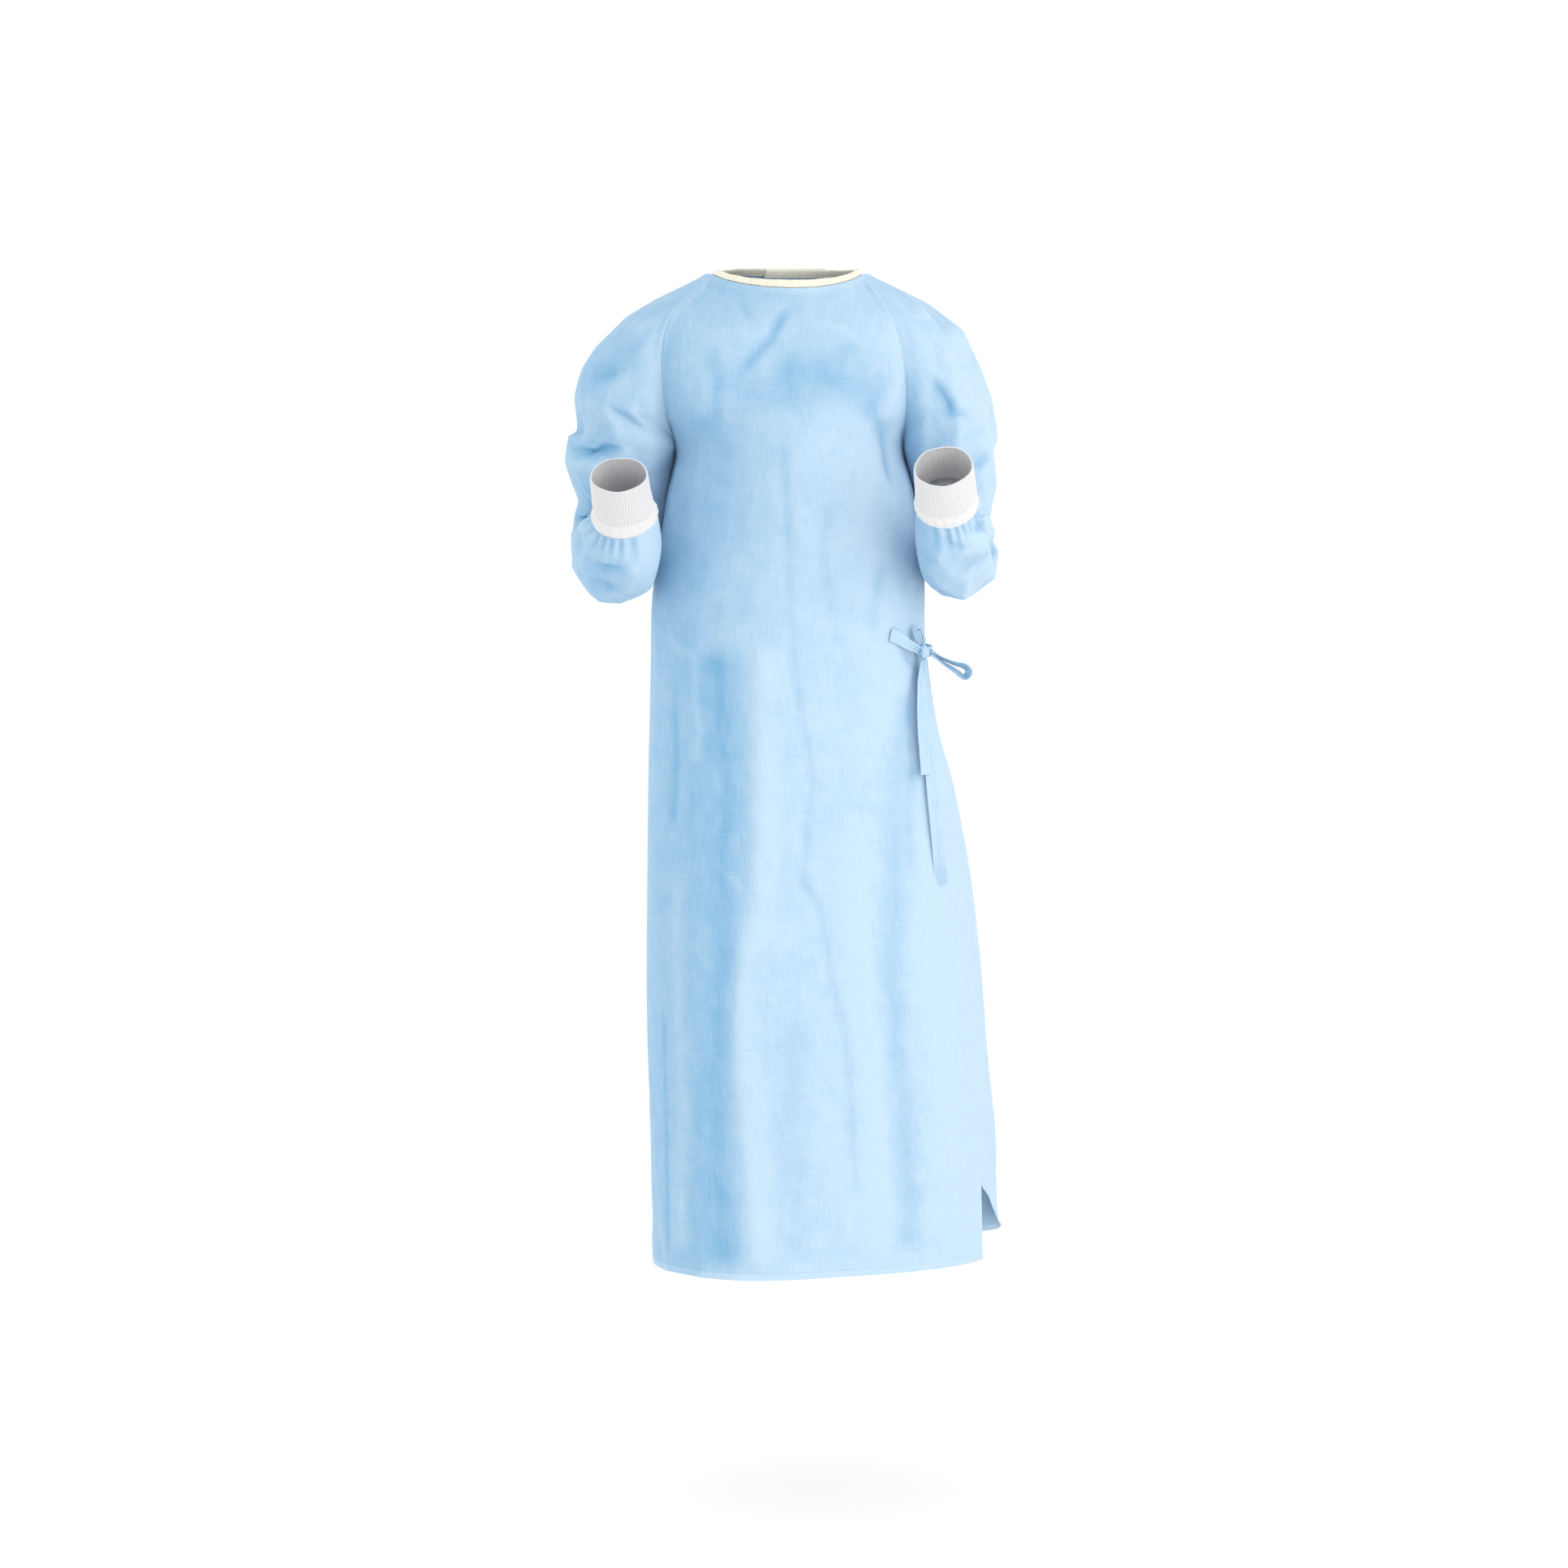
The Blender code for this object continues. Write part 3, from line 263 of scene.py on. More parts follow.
def gown_cloth(name, pale, deep, hems):
    """Matt light blue non-woven. `deep` is the painted shade in the troughs of its creases, and shows in its
    mottling too.
    """
    made, maker, feed = new_material(name)
    place = maker.node("ShaderNodeUVMap", {"uv_map": "cloth"})
    fine_down = maker.noise(maker.stretched(place, *STREAKS_DOWN), 1.0, 3.0)
    fine_across = maker.noise(maker.stretched(place, *STREAKS_ACROSS), 1.0, 3.0)
    clouds = maker.noise(place, CLOUDS, 4.0, 0.62)
    web = (fine_down - 0.5) * 0.75 + (fine_across - 0.5) * 0.50 + (clouds - 0.5) * 0.45
    # Painted shade: troughs, hollows and cloth turned from the window side mix in more of the deep blue.
    share = web * 0.55 + maker.painted("trough") * 0.30 + maker.painted("turned") * 0.50 + 0.145
    points = maker.node(
        "ShaderNodeTexVoronoi", {"feature": "F1"},
        {"Vector": place, "Scale": PRESSED_POINTS, "Randomness": 0.12})
    height = maker.clamped(points, 0.15, 0.42) * 0.45 + web * 1.1
    if hems:
        edge = maker.painted("hem")
        inside = maker.clamped(edge, HEM_HEIGHT + HEM_BLUR, HEM_HEIGHT - HEM_BLUR)
        line = maker.clamped(maker.math("ABSOLUTE", edge - HEM_LINE), 0.0009, 0.0002)
        sewn = maker.clamped(maker.painted("seam"), SEAM_LINE, SEAM_LINE * 0.4)
        share = share - inside * 0.16 + line * 0.30 - sewn * 0.10
        height = height + inside * 1.4 - line * 1.6 + sewn * 1.2
        across, down = maker.parts(place)
        for axis, lines in ((down, PACK_LINES_DOWN), (across, PACK_LINES_ROUND)):
            for at in lines:
                wander = maker.noise(place, 9.0, 1.0) * PACK_WANDER - PACK_WANDER / 2
                mark = maker.clamped(maker.math("ABSOLUTE", axis - at + wander), PACK_LINE, 0.0)
                faded = mark * maker.clamped(clouds, 0.46, 0.66)
                share = share + faded * 0.09
                height = height - faded * 1.1
    feed(
        Base_Color=maker.mixed(maker.clamped(share, 0.0, 1.0), pale, deep),
        Normal=maker.bump(height, 0.30, 0.0005),
        Roughness=0.70, Sheen_Weight=0.12, Sheen_Roughness=0.45, Specular_IOR_Level=0.30)
    return made


CLOTH = gown_cloth("fine_gown_cloth", CLOTH_PALE, CLOTH_MOTTLE_AND_SHADE, True)
RIBBON = gown_cloth("fine_ribbon_cloth", (0.475, 0.640, 0.785, 1.0), (0.065, 0.310, 0.560, 1.0), False)
print("cloth", CLOTH.name, RIBBON.name)

# %% [markdown]
# ## Reading a wall back as rows and columns
#
# A CAD node arrives as loose triangles. Merged, each cloth piece is a closed wall: an outer sheet, an inner
# one and a narrow rim between them. The rim's triangles all have one very short side, so they are easy to
# drop, and of the two sheets that are left the outer one is larger. Its rows are then found one after the
# other: the next row is every neighbour of the last one that has not been used yet.

# %% Rows and columns
WALL_LIMIT = 0.0026              # a side shorter than this crosses a wall
MERGE = 0.00002


def merged(node):
    """A merged copy of a CAD node's mesh."""
    net = bmesh.new()
    net.from_mesh(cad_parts[node].data)
    bmesh.ops.remove_doubles(net, verts=net.verts, dist=MERGE)
    return net


def links(faces):
    """Points by number, and each one's neighbours."""
    points, near = {}, {}
    for face in faces:
        for edge in face.edges:
            a, b = edge.verts
            points[a.index] = np.array(a.co)
            points[b.index] = np.array(b.co)
            near.setdefault(a.index, set()).add(b.index)
            near.setdefault(b.index, set()).add(a.index)
    return points, near


def outer_sheet(node):
    """The points and neighbours of a wall's outer sheet."""
    net = merged(node)
    rim = [face for face in net.faces if min(edge.calc_length() for edge in face.edges) < WALL_LIMIT]
    bmesh.ops.delete(net, geom=rim, context="FACES")
    left = set(net.faces)
    sheets = []
    while left:
        found, fresh = set(), [left.pop()]
        while fresh:
            face = fresh.pop()
            found.add(face)
            for edge in face.edges:
                for other in edge.link_faces:
                    if other in left:
                        left.discard(other)
                        fresh.append(other)
        sheets.append(found)
    result = links(max(sheets, key=lambda faces: sum(face.calc_area() for face in faces)))
    net.free()
    return result


def closest(numbers, points, place):
    """The number whose point is closest to a place."""
    return min(numbers, key=lambda number: np.linalg.norm(points[number] - place))


def in_order(ring, points, near, first_place, second_place):
    """A row's numbers in order. An open row starts at the end closer to the second place; a closed one starts
    closest to the first place, and heads for the second."""
    inside = {number: near[number] & ring for number in ring}
    ends = [number for number in ring if len(inside[number]) == 1]
    start = closest(ends, points, second_place) if ends else closest(ring, points, first_place)
    order = [start]
    following = inside[start]
    while following:
        order.append(closest(following, points, second_place) if len(order) == 1 else min(following))
        following = inside[order[-1]] - set(order)
    return order if ends else order + [start]


def wall_rows(node, towards, margin, first_place, second_place, before=1.0):
    """A wall's outer points as rows, top to bottom. Of the points in front of `before`, the last row's lie
    furthest towards a direction."""
    points, near = outer_sheet(node)
    asked = [number for number in points if points[number][1] < before]
    reach = max(points[number] @ towards for number in asked)
    ring = {number for number in asked if points[number] @ towards > reach - margin}
    seen, rows = set(), []
    while ring:
        order = in_order(ring, points, near, first_place, second_place)
        rows.append(np.array([points[number] for number in order]))
        first_place, second_place = rows[-1][0], rows[-1][1]
        seen |= ring
        ring = {other for number in ring for other in near[number]} - seen
    return np.array(rows[::-1])


DOWN = np.array([0.0, 0.0, -1.0])
CUFF_DIRECTION = {
    "right": np.array([-0.080, -0.640, 0.764]),
    "left": np.array([-0.093, -0.715, 0.693]),
}
HEM_MARGIN = 0.050               # metres within which the hem's points differ in height
CUFF_MARGIN = 0.001
CUFF_BEFORE = -0.12              # a sleeve's end lies in front of this
far_left, far_right = np.array([10.0, 0.0, -1.1]), np.array([-10.0, 0.0, -1.1])
STARTS = (("front_panel", far_right), ("back_panel_left", far_left), ("back_flap_right", far_left))
walls = {name: wall_rows(name, DOWN, HEM_MARGIN, None, second) for name, second in STARTS}
for side, first, second in (("left", far_right, [0.0, 10.0, 10.0]), ("right", far_left, [0.0, -10.0, -10.0])):
    walls["sleeve_" + side] = wall_rows(
        "sleeve_" + side, CUFF_DIRECTION[side], CUFF_MARGIN, first, np.array(second), CUFF_BEFORE)
for name, wall in walls.items():
    print(name, wall.shape, wall[0, 0].round(3), wall[-1, -1].round(3))

# %% [markdown]
# ## From a coarse wall to a fine one
#
# A spline goes through every known point and bends as little as it can in between, as a thin sheet does. It
# first runs round each row, and then down each column. Rows above the underarm end at a seam; a sleeve's rows
# below it are rings, so the spline there gets a few of its own points again past both ends.

# %% Finer walls
UNDERARM_ROW = 7                 # the wall's row at the underarm, counted from the neck
UPPER_ROWS = 56                  # fine rows from the neck to the underarm, the same for every piece
FINE = {
    # columns, and rows below the underarm
    "front_panel": (164, 196),
    "back_panel_left": (104, 196),
    "back_flap_right": (168, 196),
    "sleeve_left": (150, 132),
    "sleeve_right": (150, 132),
}


def spline(keys, values, at):
    """Values read on a smooth curve through known ones."""
    count, step = len(keys), np.diff(keys)
    flat = values.reshape(count, -1)
    sums = np.eye(count)
    wanted = np.zeros_like(flat)
    for k in range(1, count - 1):
        sums[k, k - 1:k + 2] = step[k - 1], 2 * (step[k - 1] + step[k]), step[k]
        wanted[k] = 6 * ((flat[k + 1] - flat[k]) / step[k] - (flat[k] - flat[k - 1]) / step[k - 1])
    bend = np.linalg.solve(sums, wanted)
    k = np.clip(np.searchsorted(keys, at) - 1, 0, count - 2)
    size = step[k][:, None]
    before, after = (keys[k + 1] - at)[:, None], (at - keys[k])[:, None]
    made = (bend[k] * before ** 3 + bend[k + 1] * after ** 3) / (6 * size)
    made += (
        (flat[k] / size - bend[k] * size / 6) * before
        + (flat[k + 1] / size - bend[k + 1] * size / 6) * after)
    return made.reshape((len(at),) + values.shape[1:])


def added_up(steps):
    """Where each point of a line lies along it, from the lengths of its steps."""
    return np.concatenate([[0.0], np.cumsum(steps)])


def travelled(points):
    """Metres along a line to each of its points."""
    return added_up(np.linalg.norm(np.diff(points, axis=0), axis=1))


def finer(wall, columns, lower_rows, closed):
    """A fine grid of points through a wall's points."""
    count = wall.shape[1]
    at = np.linspace(0.0, count - 1.0, columns + 1)
    wide = []
    for r, row in enumerate(wall):
        keys = np.arange(count, dtype=float)
        if closed and r >= UNDERARM_ROW:
            row = np.vstack([row[-4:-1], row, row[1:4]])
            keys = np.arange(-3.0, count + 3.0)
        wide.append(spline(keys, row, at))
    wide = np.array(wide)
    keys = added_up(np.linalg.norm(np.diff(wide, axis=0), axis=2).mean(axis=1))
    middle = keys[UNDERARM_ROW]
    places = np.concatenate([
        np.linspace(0.0, middle, UPPER_ROWS + 1)[:-1], np.linspace(middle, keys[-1], lower_rows + 1)])
    grid = spline(keys, wide, places)
    if closed:
        grid[UPPER_ROWS:, 0] = grid[UPPER_ROWS:, -1] = (grid[UPPER_ROWS:, 0] + grid[UPPER_ROWS:, -1]) / 2
    return grid


SEAM_PULL = 14                   # columns that give way where an edge is moved on to a seam


def pull(grid, column, inward, rows, target):
    """Move an edge on to a target line, and the columns next to it by less and less."""
    gap = target - grid[rows, column]
    for k in range(SEAM_PULL):
        share = (1 - k / SEAM_PULL) ** 2 * (1 + 2 * k / SEAM_PULL)
        grid[rows, column + inward * k] += gap * share


grids = {
    name: finer(wall, *FINE[name], name.startswith("sleeve")) for name, wall in walls.items()
}
upper = slice(0, UPPER_ROWS + 1)
lower = slice(UPPER_ROWS, None)
SEAMS = (
    # piece, its edge column, the way in from it, its rows; and the same for the piece that is sewn to it
    ("front_panel", -1, -1, "sleeve_left", 0, 1, upper),
    ("front_panel", 0, 1, "sleeve_right", -1, -1, upper),
    ("back_panel_left", 0, 1, "sleeve_left", -1, -1, upper),
    ("back_flap_right", -1, -1, "sleeve_right", 0, 1, upper),
    ("front_panel", -1, -1, "back_panel_left", 0, 1, lower),
    ("front_panel", 0, 1, "back_flap_right", -1, -1, lower),
)
for first, first_column, _, second, second_column, second_inward, rows in SEAMS:
    pull(grids[second], second_column, second_inward, rows, grids[first][rows, first_column].copy())
print("fine grids:", {name: grid.shape[:2] for name, grid in grids.items()})

# %% [markdown]
# Every piece gets its own flat map in metres. Across, it is the length along a row from its middle. Down,
# it is the mean length from the neck. Creases, streaks and hems are all placed on it.


# %% Normals and maps
def normals_of(grid, closed_from=None):
    """Outward normals of a grid of points, from the slopes along its rows and columns."""
    along = np.gradient(grid, axis=1)
    if closed_from is not None:
        along[closed_from + 1:, 0] = grid[closed_from + 1:, 1] - grid[closed_from + 1:, -2]
        along[closed_from + 1:, -1] = along[closed_from + 1:, 0]
    normal = np.cross(np.gradient(grid, axis=0), along)
    return normal / np.maximum(np.linalg.norm(normal, axis=2, keepdims=True), 1e-12)


def map_of(grid):
    """The flat map of a grid, in metres."""
    across = np.linalg.norm(np.diff(grid, axis=1), axis=2)
    across = np.concatenate([np.zeros((len(grid), 1)), np.cumsum(across, axis=1)], axis=1)
    across -= across[:, -1:] / 2
    down = added_up(np.linalg.norm(np.diff(grid, axis=0), axis=2).mean(axis=1))
    return across, np.repeat(down[:, None], grid.shape[1], axis=1)


closed_from = {"sleeve_left": UPPER_ROWS, "sleeve_right": UPPER_ROWS}
maps = {name: map_of(grid) for name, grid in grids.items()}
normals = {name: normals_of(grid, closed_from.get(name)) for name, grid in grids.items()}
for name, (across, down) in maps.items():
    print(name, "widest", np.ptp(across, axis=1).max().round(3), "long", down[-1, 0].round(3))

# %% [markdown]
# Two pieces that are sewn together must turn the same way at their seam, or what is laid on them later pulls
# the seam open. So their normals are averaged there, and the change fades out over the next few columns.

# %% Shared normals at the seams
SEAM_BLEND = 12                  # columns


def share_normals(first, second, rows):
    """Give two edges the mean of their normals. An edge is a piece, its column and the way in from it."""
    shared = sum(normals[name][rows, column] for name, column, _ in (first, second))
    shared /= np.linalg.norm(shared, axis=1, keepdims=True)
    for name, column, inward in (first, second):
        for k in range(SEAM_BLEND):
            part = (1 - k / SEAM_BLEND) ** 2
            mixed = normals[name][rows, column + inward * k] * (1 - part) + shared * part
            normals[name][rows, column + inward * k] = mixed / np.linalg.norm(mixed, axis=1, keepdims=True)


for *first, second, second_column, second_inward, rows in SEAMS:
    share_normals(first, (second, second_column, second_inward), rows)
print("seams share their normals:", len(SEAMS))

# %% [markdown]
# ## Creases, placed one by one
#
# A crease is a line of places on the gown with a half width and a height, negative for a trough. A place is
# given as seen from the front or from the back, across and up, and is looked up on the piece, so that the
# crease's width is measured along the cloth. The line fades out at both ends. A crease with a lean has a lip
# on one side, as where cloth has been pushed together.

# %% Crease tools
FADE = 0.035                     # metres over which a crease fades in and out
NOTHING = 1e-6                   # too small to tell from 0


def ease(share):
    """0 to 1, with a soft start and end."""
    share = np.clip(share, 0.0, 1.0)
    return share * share * (3 - 2 * share)


def seen_at(name, x, z, facing, slack):
    """Row and column of the point of a piece that is seen at (x, z), from the front (-1) or the back (1)."""
    grid = grids[name]
    away = np.hypot(grid[..., 0] - x, grid[..., 2] - z)
    score = np.where(away < away.min() + slack, grid[..., 1] * facing, -10.0)
    return np.unravel_index(np.argmax(score), score.shape)


def spot(name, x, z, facing):
    """The map place of such a point."""
    place = seen_at(name, x, z, facing, 0.004)
    return np.array([maps[name][0][place], maps[name][1][place]])


def crease(name, facing, points, half_width, height, lean=0.0, fade=FADE, sharp=2.0):
    """How far one crease moves each point of a piece out. Sharp is 2 for a soft fold, 1 for a hard one."""
    across, down = maps[name]
    path = np.array([spot(name, x, z, facing) for x, z in points])
    best = np.full(across.shape, 1e9)
    side = np.zeros(across.shape)
    along = np.zeros(across.shape)
    travelled = 0.0
    for start, end in zip(path[:-1], path[1:]):
        step = end - start
        length = max(np.linalg.norm(step), NOTHING)
        u, v = across - start[0], down - start[1]
        share = np.clip((u * step[0] + v * step[1]) / length ** 2, 0.0, 1.0)
        away = np.hypot(u - share * step[0], v - share * step[1])
        turn = np.sign(u * step[1] - v * step[0])
        nearer = away < best
        best = np.where(nearer, away, best)
        side = np.where(nearer, away * turn, side)
        along = np.where(nearer, travelled + share * length, along)
        travelled += length
    ends = ease(along / fade) * ease((travelled - along) / fade)
    reach = side / half_width
    return height * np.exp(-np.abs(reach) ** sharp) * (1 - lean * np.clip(reach, -1.5, 1.5)) * ends


def cloudy(across, down, wide, tall, seed):
    """Soft random hills from -1 to 1, of a size in metres across and down."""
    table = np.random.default_rng(seed).uniform(-1.0, 1.0, (61, 67))
    x, y = across / wide + 500.37, down / tall + 500.71
    i, j = np.floor(x).astype(int), np.floor(y).astype(int)
    s, t = ease(x - i), ease(y - j)

    def corner(a, b):
        return table[(i + a) % 61, (j + b) % 67]

    top = corner(0, 0) * (1 - s) + corner(1, 0) * s
    bottom = corner(0, 1) * (1 - s) + corner(1, 1) * s
    return top * (1 - t) + bottom * t


def crumpled(across, down, wide, tall, seed):
    """Sharp little ridges, as in cloth that has been folded and shaken out: 0 on a ridge, -1 between them."""
    turned = across * 0.83 + down * 0.56, down * 0.83 - across * 0.56
    straight = -np.abs(cloudy(across, down, wide, tall, seed))
    return straight - 0.5 * np.abs(cloudy(*turned, wide, tall, seed + 7))


print("crease tools ready")

# %% [markdown]
# The front hangs from the chest almost flat. A soft trough falls from the neck to the wearer's right, a broad
# fold runs down the right side of the skirt, and a few thin wandering creases are left from the pack.

# %% Creases of the front
FRONT_CREASES = (
    # places (x, z), half width, height, lean
    (((0.004, -0.040), (-0.022, -0.082), (-0.045, -0.110), (-0.066, -0.132)), 0.0085, -0.0032, 0.5),
    (((-0.060, -0.030), (-0.048, -0.050), (-0.036, -0.072)), 0.0060, -0.0016, 0.4),
    (((0.052, -0.082), (0.070, -0.092), (0.092, -0.104)), 0.0160, -0.0026, 0.0),
    (((0.030, -0.058), (0.062, -0.070), (0.096, -0.096)), 0.0075, 0.0012, 0.0),
    (((-0.100, -0.085), (-0.082, -0.125), (-0.090, -0.180), (-0.118, -0.205)), 0.0140, -0.0022, 0.3),
    (((0.098, -0.135), (0.104, -0.172), (0.122, -0.215), (0.128, -0.262)), 0.0120, -0.0042, 0.5),
    (((0.108, -0.215), (0.100, -0.290), (0.112, -0.355)), 0.0180, 0.0020, 0.0),
    (((-0.100, -0.125), (-0.050, -0.148), (-0.010, -0.152), (0.040, -0.150)), 0.0260, -0.0022, 0.0),
    (((-0.030, -0.118), (0.030, -0.122), (0.076, -0.136), (0.130, -0.160)), 0.0290, -0.0046, 0.0),
    (((0.128, -0.436), (0.138, -0.447), (0.152, -0.459), (0.160, -0.470)), 0.0070, -0.0036, 0.0),
    (((0.156, -0.455), (0.150, -0.500), (0.151, -0.560), (0.153, -0.620)), 0.0070, -0.0022, 0.0),
    (((0.150, -0.560), (0.147, -0.640), (0.152, -0.720)), 0.0100, -0.0016, 0.0),
    (((-0.045, -0.420), (-0.037, -0.470), (-0.032, -0.718), (-0.060, -0.802), (-0.062, -0.895),
      (-0.054, -0.979), (-0.042, -1.054), (-0.032, -1.165)), 0.0170, 0.0030, -0.6),
    (((-0.090, -0.430), (-0.082, -0.600), (-0.086, -0.800), (-0.094, -1.000), (-0.088, -1.175)),
     0.0260, -0.0050, 0.0),
    (((-0.147, -0.414), (-0.138, -0.434), (-0.113, -0.452), (-0.112, -0.507), (-0.107, -0.541),
      (-0.110, -0.564), (-0.124, -0.586)), 0.0062, 0.0013, 0.6),
    (((-0.136, -0.470), (-0.134, -0.560), (-0.140, -0.660)), 0.0075, -0.0020, 0.0),
    (((-0.010, -0.190), (0.004, -0.308), (0.020, -0.504), (0.030, -0.548), (0.037, -0.596), (0.026, -0.714),
      (0.042, -0.742), (0.061, -0.838), (0.072, -0.891), (0.083, -1.034), (0.090, -1.090)),
     0.0065, -0.0009, 0.8),
    (((0.056, -0.250), (0.048, -0.330), (0.056, -0.420)), 0.0090, -0.0012, 0.4),
    (((0.080, -1.070), (0.076, -1.105), (0.072, -1.145)), 0.0070, 0.0013, 0.5),
    (((0.048, -1.122), (0.036, -1.136), (0.024, -1.150)), 0.0060, 0.0010, 0.4),
    (((-0.031, -0.650), (-0.024, -0.682)), 0.0060, 0.0016, 0.4),
    (((-0.090, -0.688), (-0.066, -0.706), (-0.042, -0.730)), 0.0065, 0.0016, 0.5),
    (((-0.092, -0.560), (-0.084, -0.600), (-0.074, -0.626)), 0.0065, 0.0014, 0.5),
    (((-0.132, -0.690), (-0.128, -0.900), (-0.134, -1.160)), 0.0110, 0.0022, 0.0),
    (((-0.150, -0.860), (-0.147, -1.000), (-0.146, -1.160)), 0.0050, -0.0016, 0.0),
    (((0.120, -0.330), (0.108, -0.390), (0.100, -0.436)), 0.0100, -0.0020, 0.4),
    (((0.142, -0.360), (0.128, -0.400), (0.118, -0.430)), 0.0070, 0.0014, 0.0),
    (((0.150, -0.480), (0.136, -0.600), (0.130, -0.760), (0.140, -0.960), (0.152, -1.165)),
     0.0210, -0.0032, 0.3),
    (((0.176, -0.560), (0.176, -0.760), (0.190, -0.960), (0.202, -1.165)), 0.0170, 0.0026, 0.0),
    (((0.080, -0.620), (0.078, -0.780), (0.096, -0.940), (0.110, -1.165)), 0.0200, 0.0016, 0.0),
    (((0.009, -0.860), (0.004, -1.000), (0.014, -1.170)), 0.0220, -0.0016, 0.0),
)
print(len(FRONT_CREASES), "creases on the front")

# %% [markdown]
# The back hangs in long soft flutes, because it carries most of the gown's spare width. Most of them start
# under the shoulder blades or where the belt pulls, and run down to the hem.

# %% Creases of the back
FLAP_CREASES = (
    # facing, places (x, z), half width, height, lean
    (1, ((-0.050, -0.300), (-0.060, -0.520), (-0.066, -0.800), (-0.064, -1.165)), 0.0210, 0.0042, 0.2),
    (1, ((-0.098, -0.360), (-0.108, -0.600), (-0.112, -0.860), (-0.108, -1.165)), 0.0190, -0.0046, 0.0),
    (1, ((0.020, -0.250), (0.012, -0.420), (0.006, -0.640), (0.012, -0.900), (0.020, -1.165)),
     0.0230, -0.0046, 0.2),
    (1, ((0.064, -0.330), (0.070, -0.520), (0.078, -0.800), (0.090, -1.165)), 0.0210, 0.0040, 0.0),
    (1, ((0.110, -0.400), (0.124, -0.560), (0.140, -0.820), (0.158, -1.165)), 0.0200, -0.0040, 0.0),
    (1, ((0.150, -0.455), (0.120, -0.500), (0.070, -0.540), (0.010, -0.560)), 0.0110, -0.0028, 0.5),
    (1, ((0.150, -0.440), (0.100, -0.440), (0.040, -0.420)), 0.0100, 0.0022, 0.4),
    (1, ((-0.030, -0.150), (-0.044, -0.210), (-0.040, -0.300)), 0.0120, -0.0024, 0.3),
    (1, ((0.020, -0.060), (-0.010, -0.100), (-0.050, -0.140)), 0.0100, -0.0020, 0.4),
    (1, ((-0.110, -0.170), (-0.094, -0.230), (-0.100, -0.320)), 0.0120, -0.0030, 0.3),
    (-1, ((-0.156, -0.450), (-0.160, -0.600), (-0.158, -0.900)), 0.0120, -0.0018, 0.0),
    (1, ((-0.150, -0.420), (-0.152, -0.640), (-0.154, -0.900), (-0.150, -1.165)), 0.0150, 0.0026, 0.0),
    (1, ((0.196, -0.620), (0.215, -0.860), (0.238, -1.150)), 0.0140, 0.0022, 0.0),
)
INNER_CREASES = (
    (1, ((0.120, -0.300), (0.140, -0.600), (0.160, -0.900), (0.170, -1.165)), 0.0200, -0.0035, 0.0),
    (1, ((0.150, -0.300), (0.180, -0.600), (0.205, -0.900), (0.216, -1.165)), 0.0170, 0.0022, 0.0),
    (1, ((0.104, -0.150), (0.098, -0.220), (0.108, -0.300)), 0.0110, -0.0024, 0.3),
)
print(len(FLAP_CREASES) + len(INNER_CREASES), "creases on the back")

# %% [markdown]
# A sleeve crumples more than a panel. Bent to a right angle, its cloth buckles into short deep folds inside
# the elbow and into flat facets outside it, and the seam to the cuff gathers it into small pleats.

# %% Creases of the sleeves
LEFT_SLEEVE_CREASES = (
    (-1, ((0.168, -0.122), (0.196, -0.168), (0.226, -0.176)), 0.0100, -0.0040, 0.5),
    (-1, ((0.246, -0.192), (0.226, -0.205), (0.196, -0.212)), 0.0075, 0.0030, -0.5),
    (-1, ((0.250, -0.214), (0.232, -0.232), (0.200, -0.240)), 0.0085, -0.0048, 0.5),
    (-1, ((0.246, -0.262), (0.226, -0.272), (0.200, -0.262)), 0.0075, 0.0038, -0.6),
    (-1, ((0.236, -0.275), (0.218, -0.290), (0.196, -0.288)), 0.0070, -0.0036, 0.5),
    (-1, ((0.190, -0.268), (0.190, -0.290), (0.199, -0.314)), 0.0080, -0.0040, 0.6),
    (-1, ((0.232, -0.300), (0.214, -0.330), (0.188, -0.350)), 0.0100, 0.0032, 0.0),
    (-1, ((0.166, -0.302), (0.182, -0.330), (0.212, -0.336)), 0.0090, -0.0030, 0.5),
    (-1, ((0.240, -0.322), (0.216, -0.356), (0.180, -0.366)), 0.0120, -0.0022, 0.3),
    (1, ((0.246, -0.180), (0.210, -0.200), (0.180, -0.190)), 0.0120, -0.0036, 0.4),
    (1, ((0.250, -0.232), (0.214, -0.256), (0.180, -0.240)), 0.0110, 0.0034, 0.4),
    (1, ((0.236, -0.262), (0.206, -0.292), (0.176, -0.286)), 0.0110, -0.0040, 0.4),
    (1, ((0.232, -0.310), (0.208, -0.330), (0.180, -0.320)), 0.0120, 0.0028, 0.4),
    (1, ((0.158, -0.070), (0.184, -0.120), (0.192, -0.180)), 0.0140, -0.0030, 0.3),
)
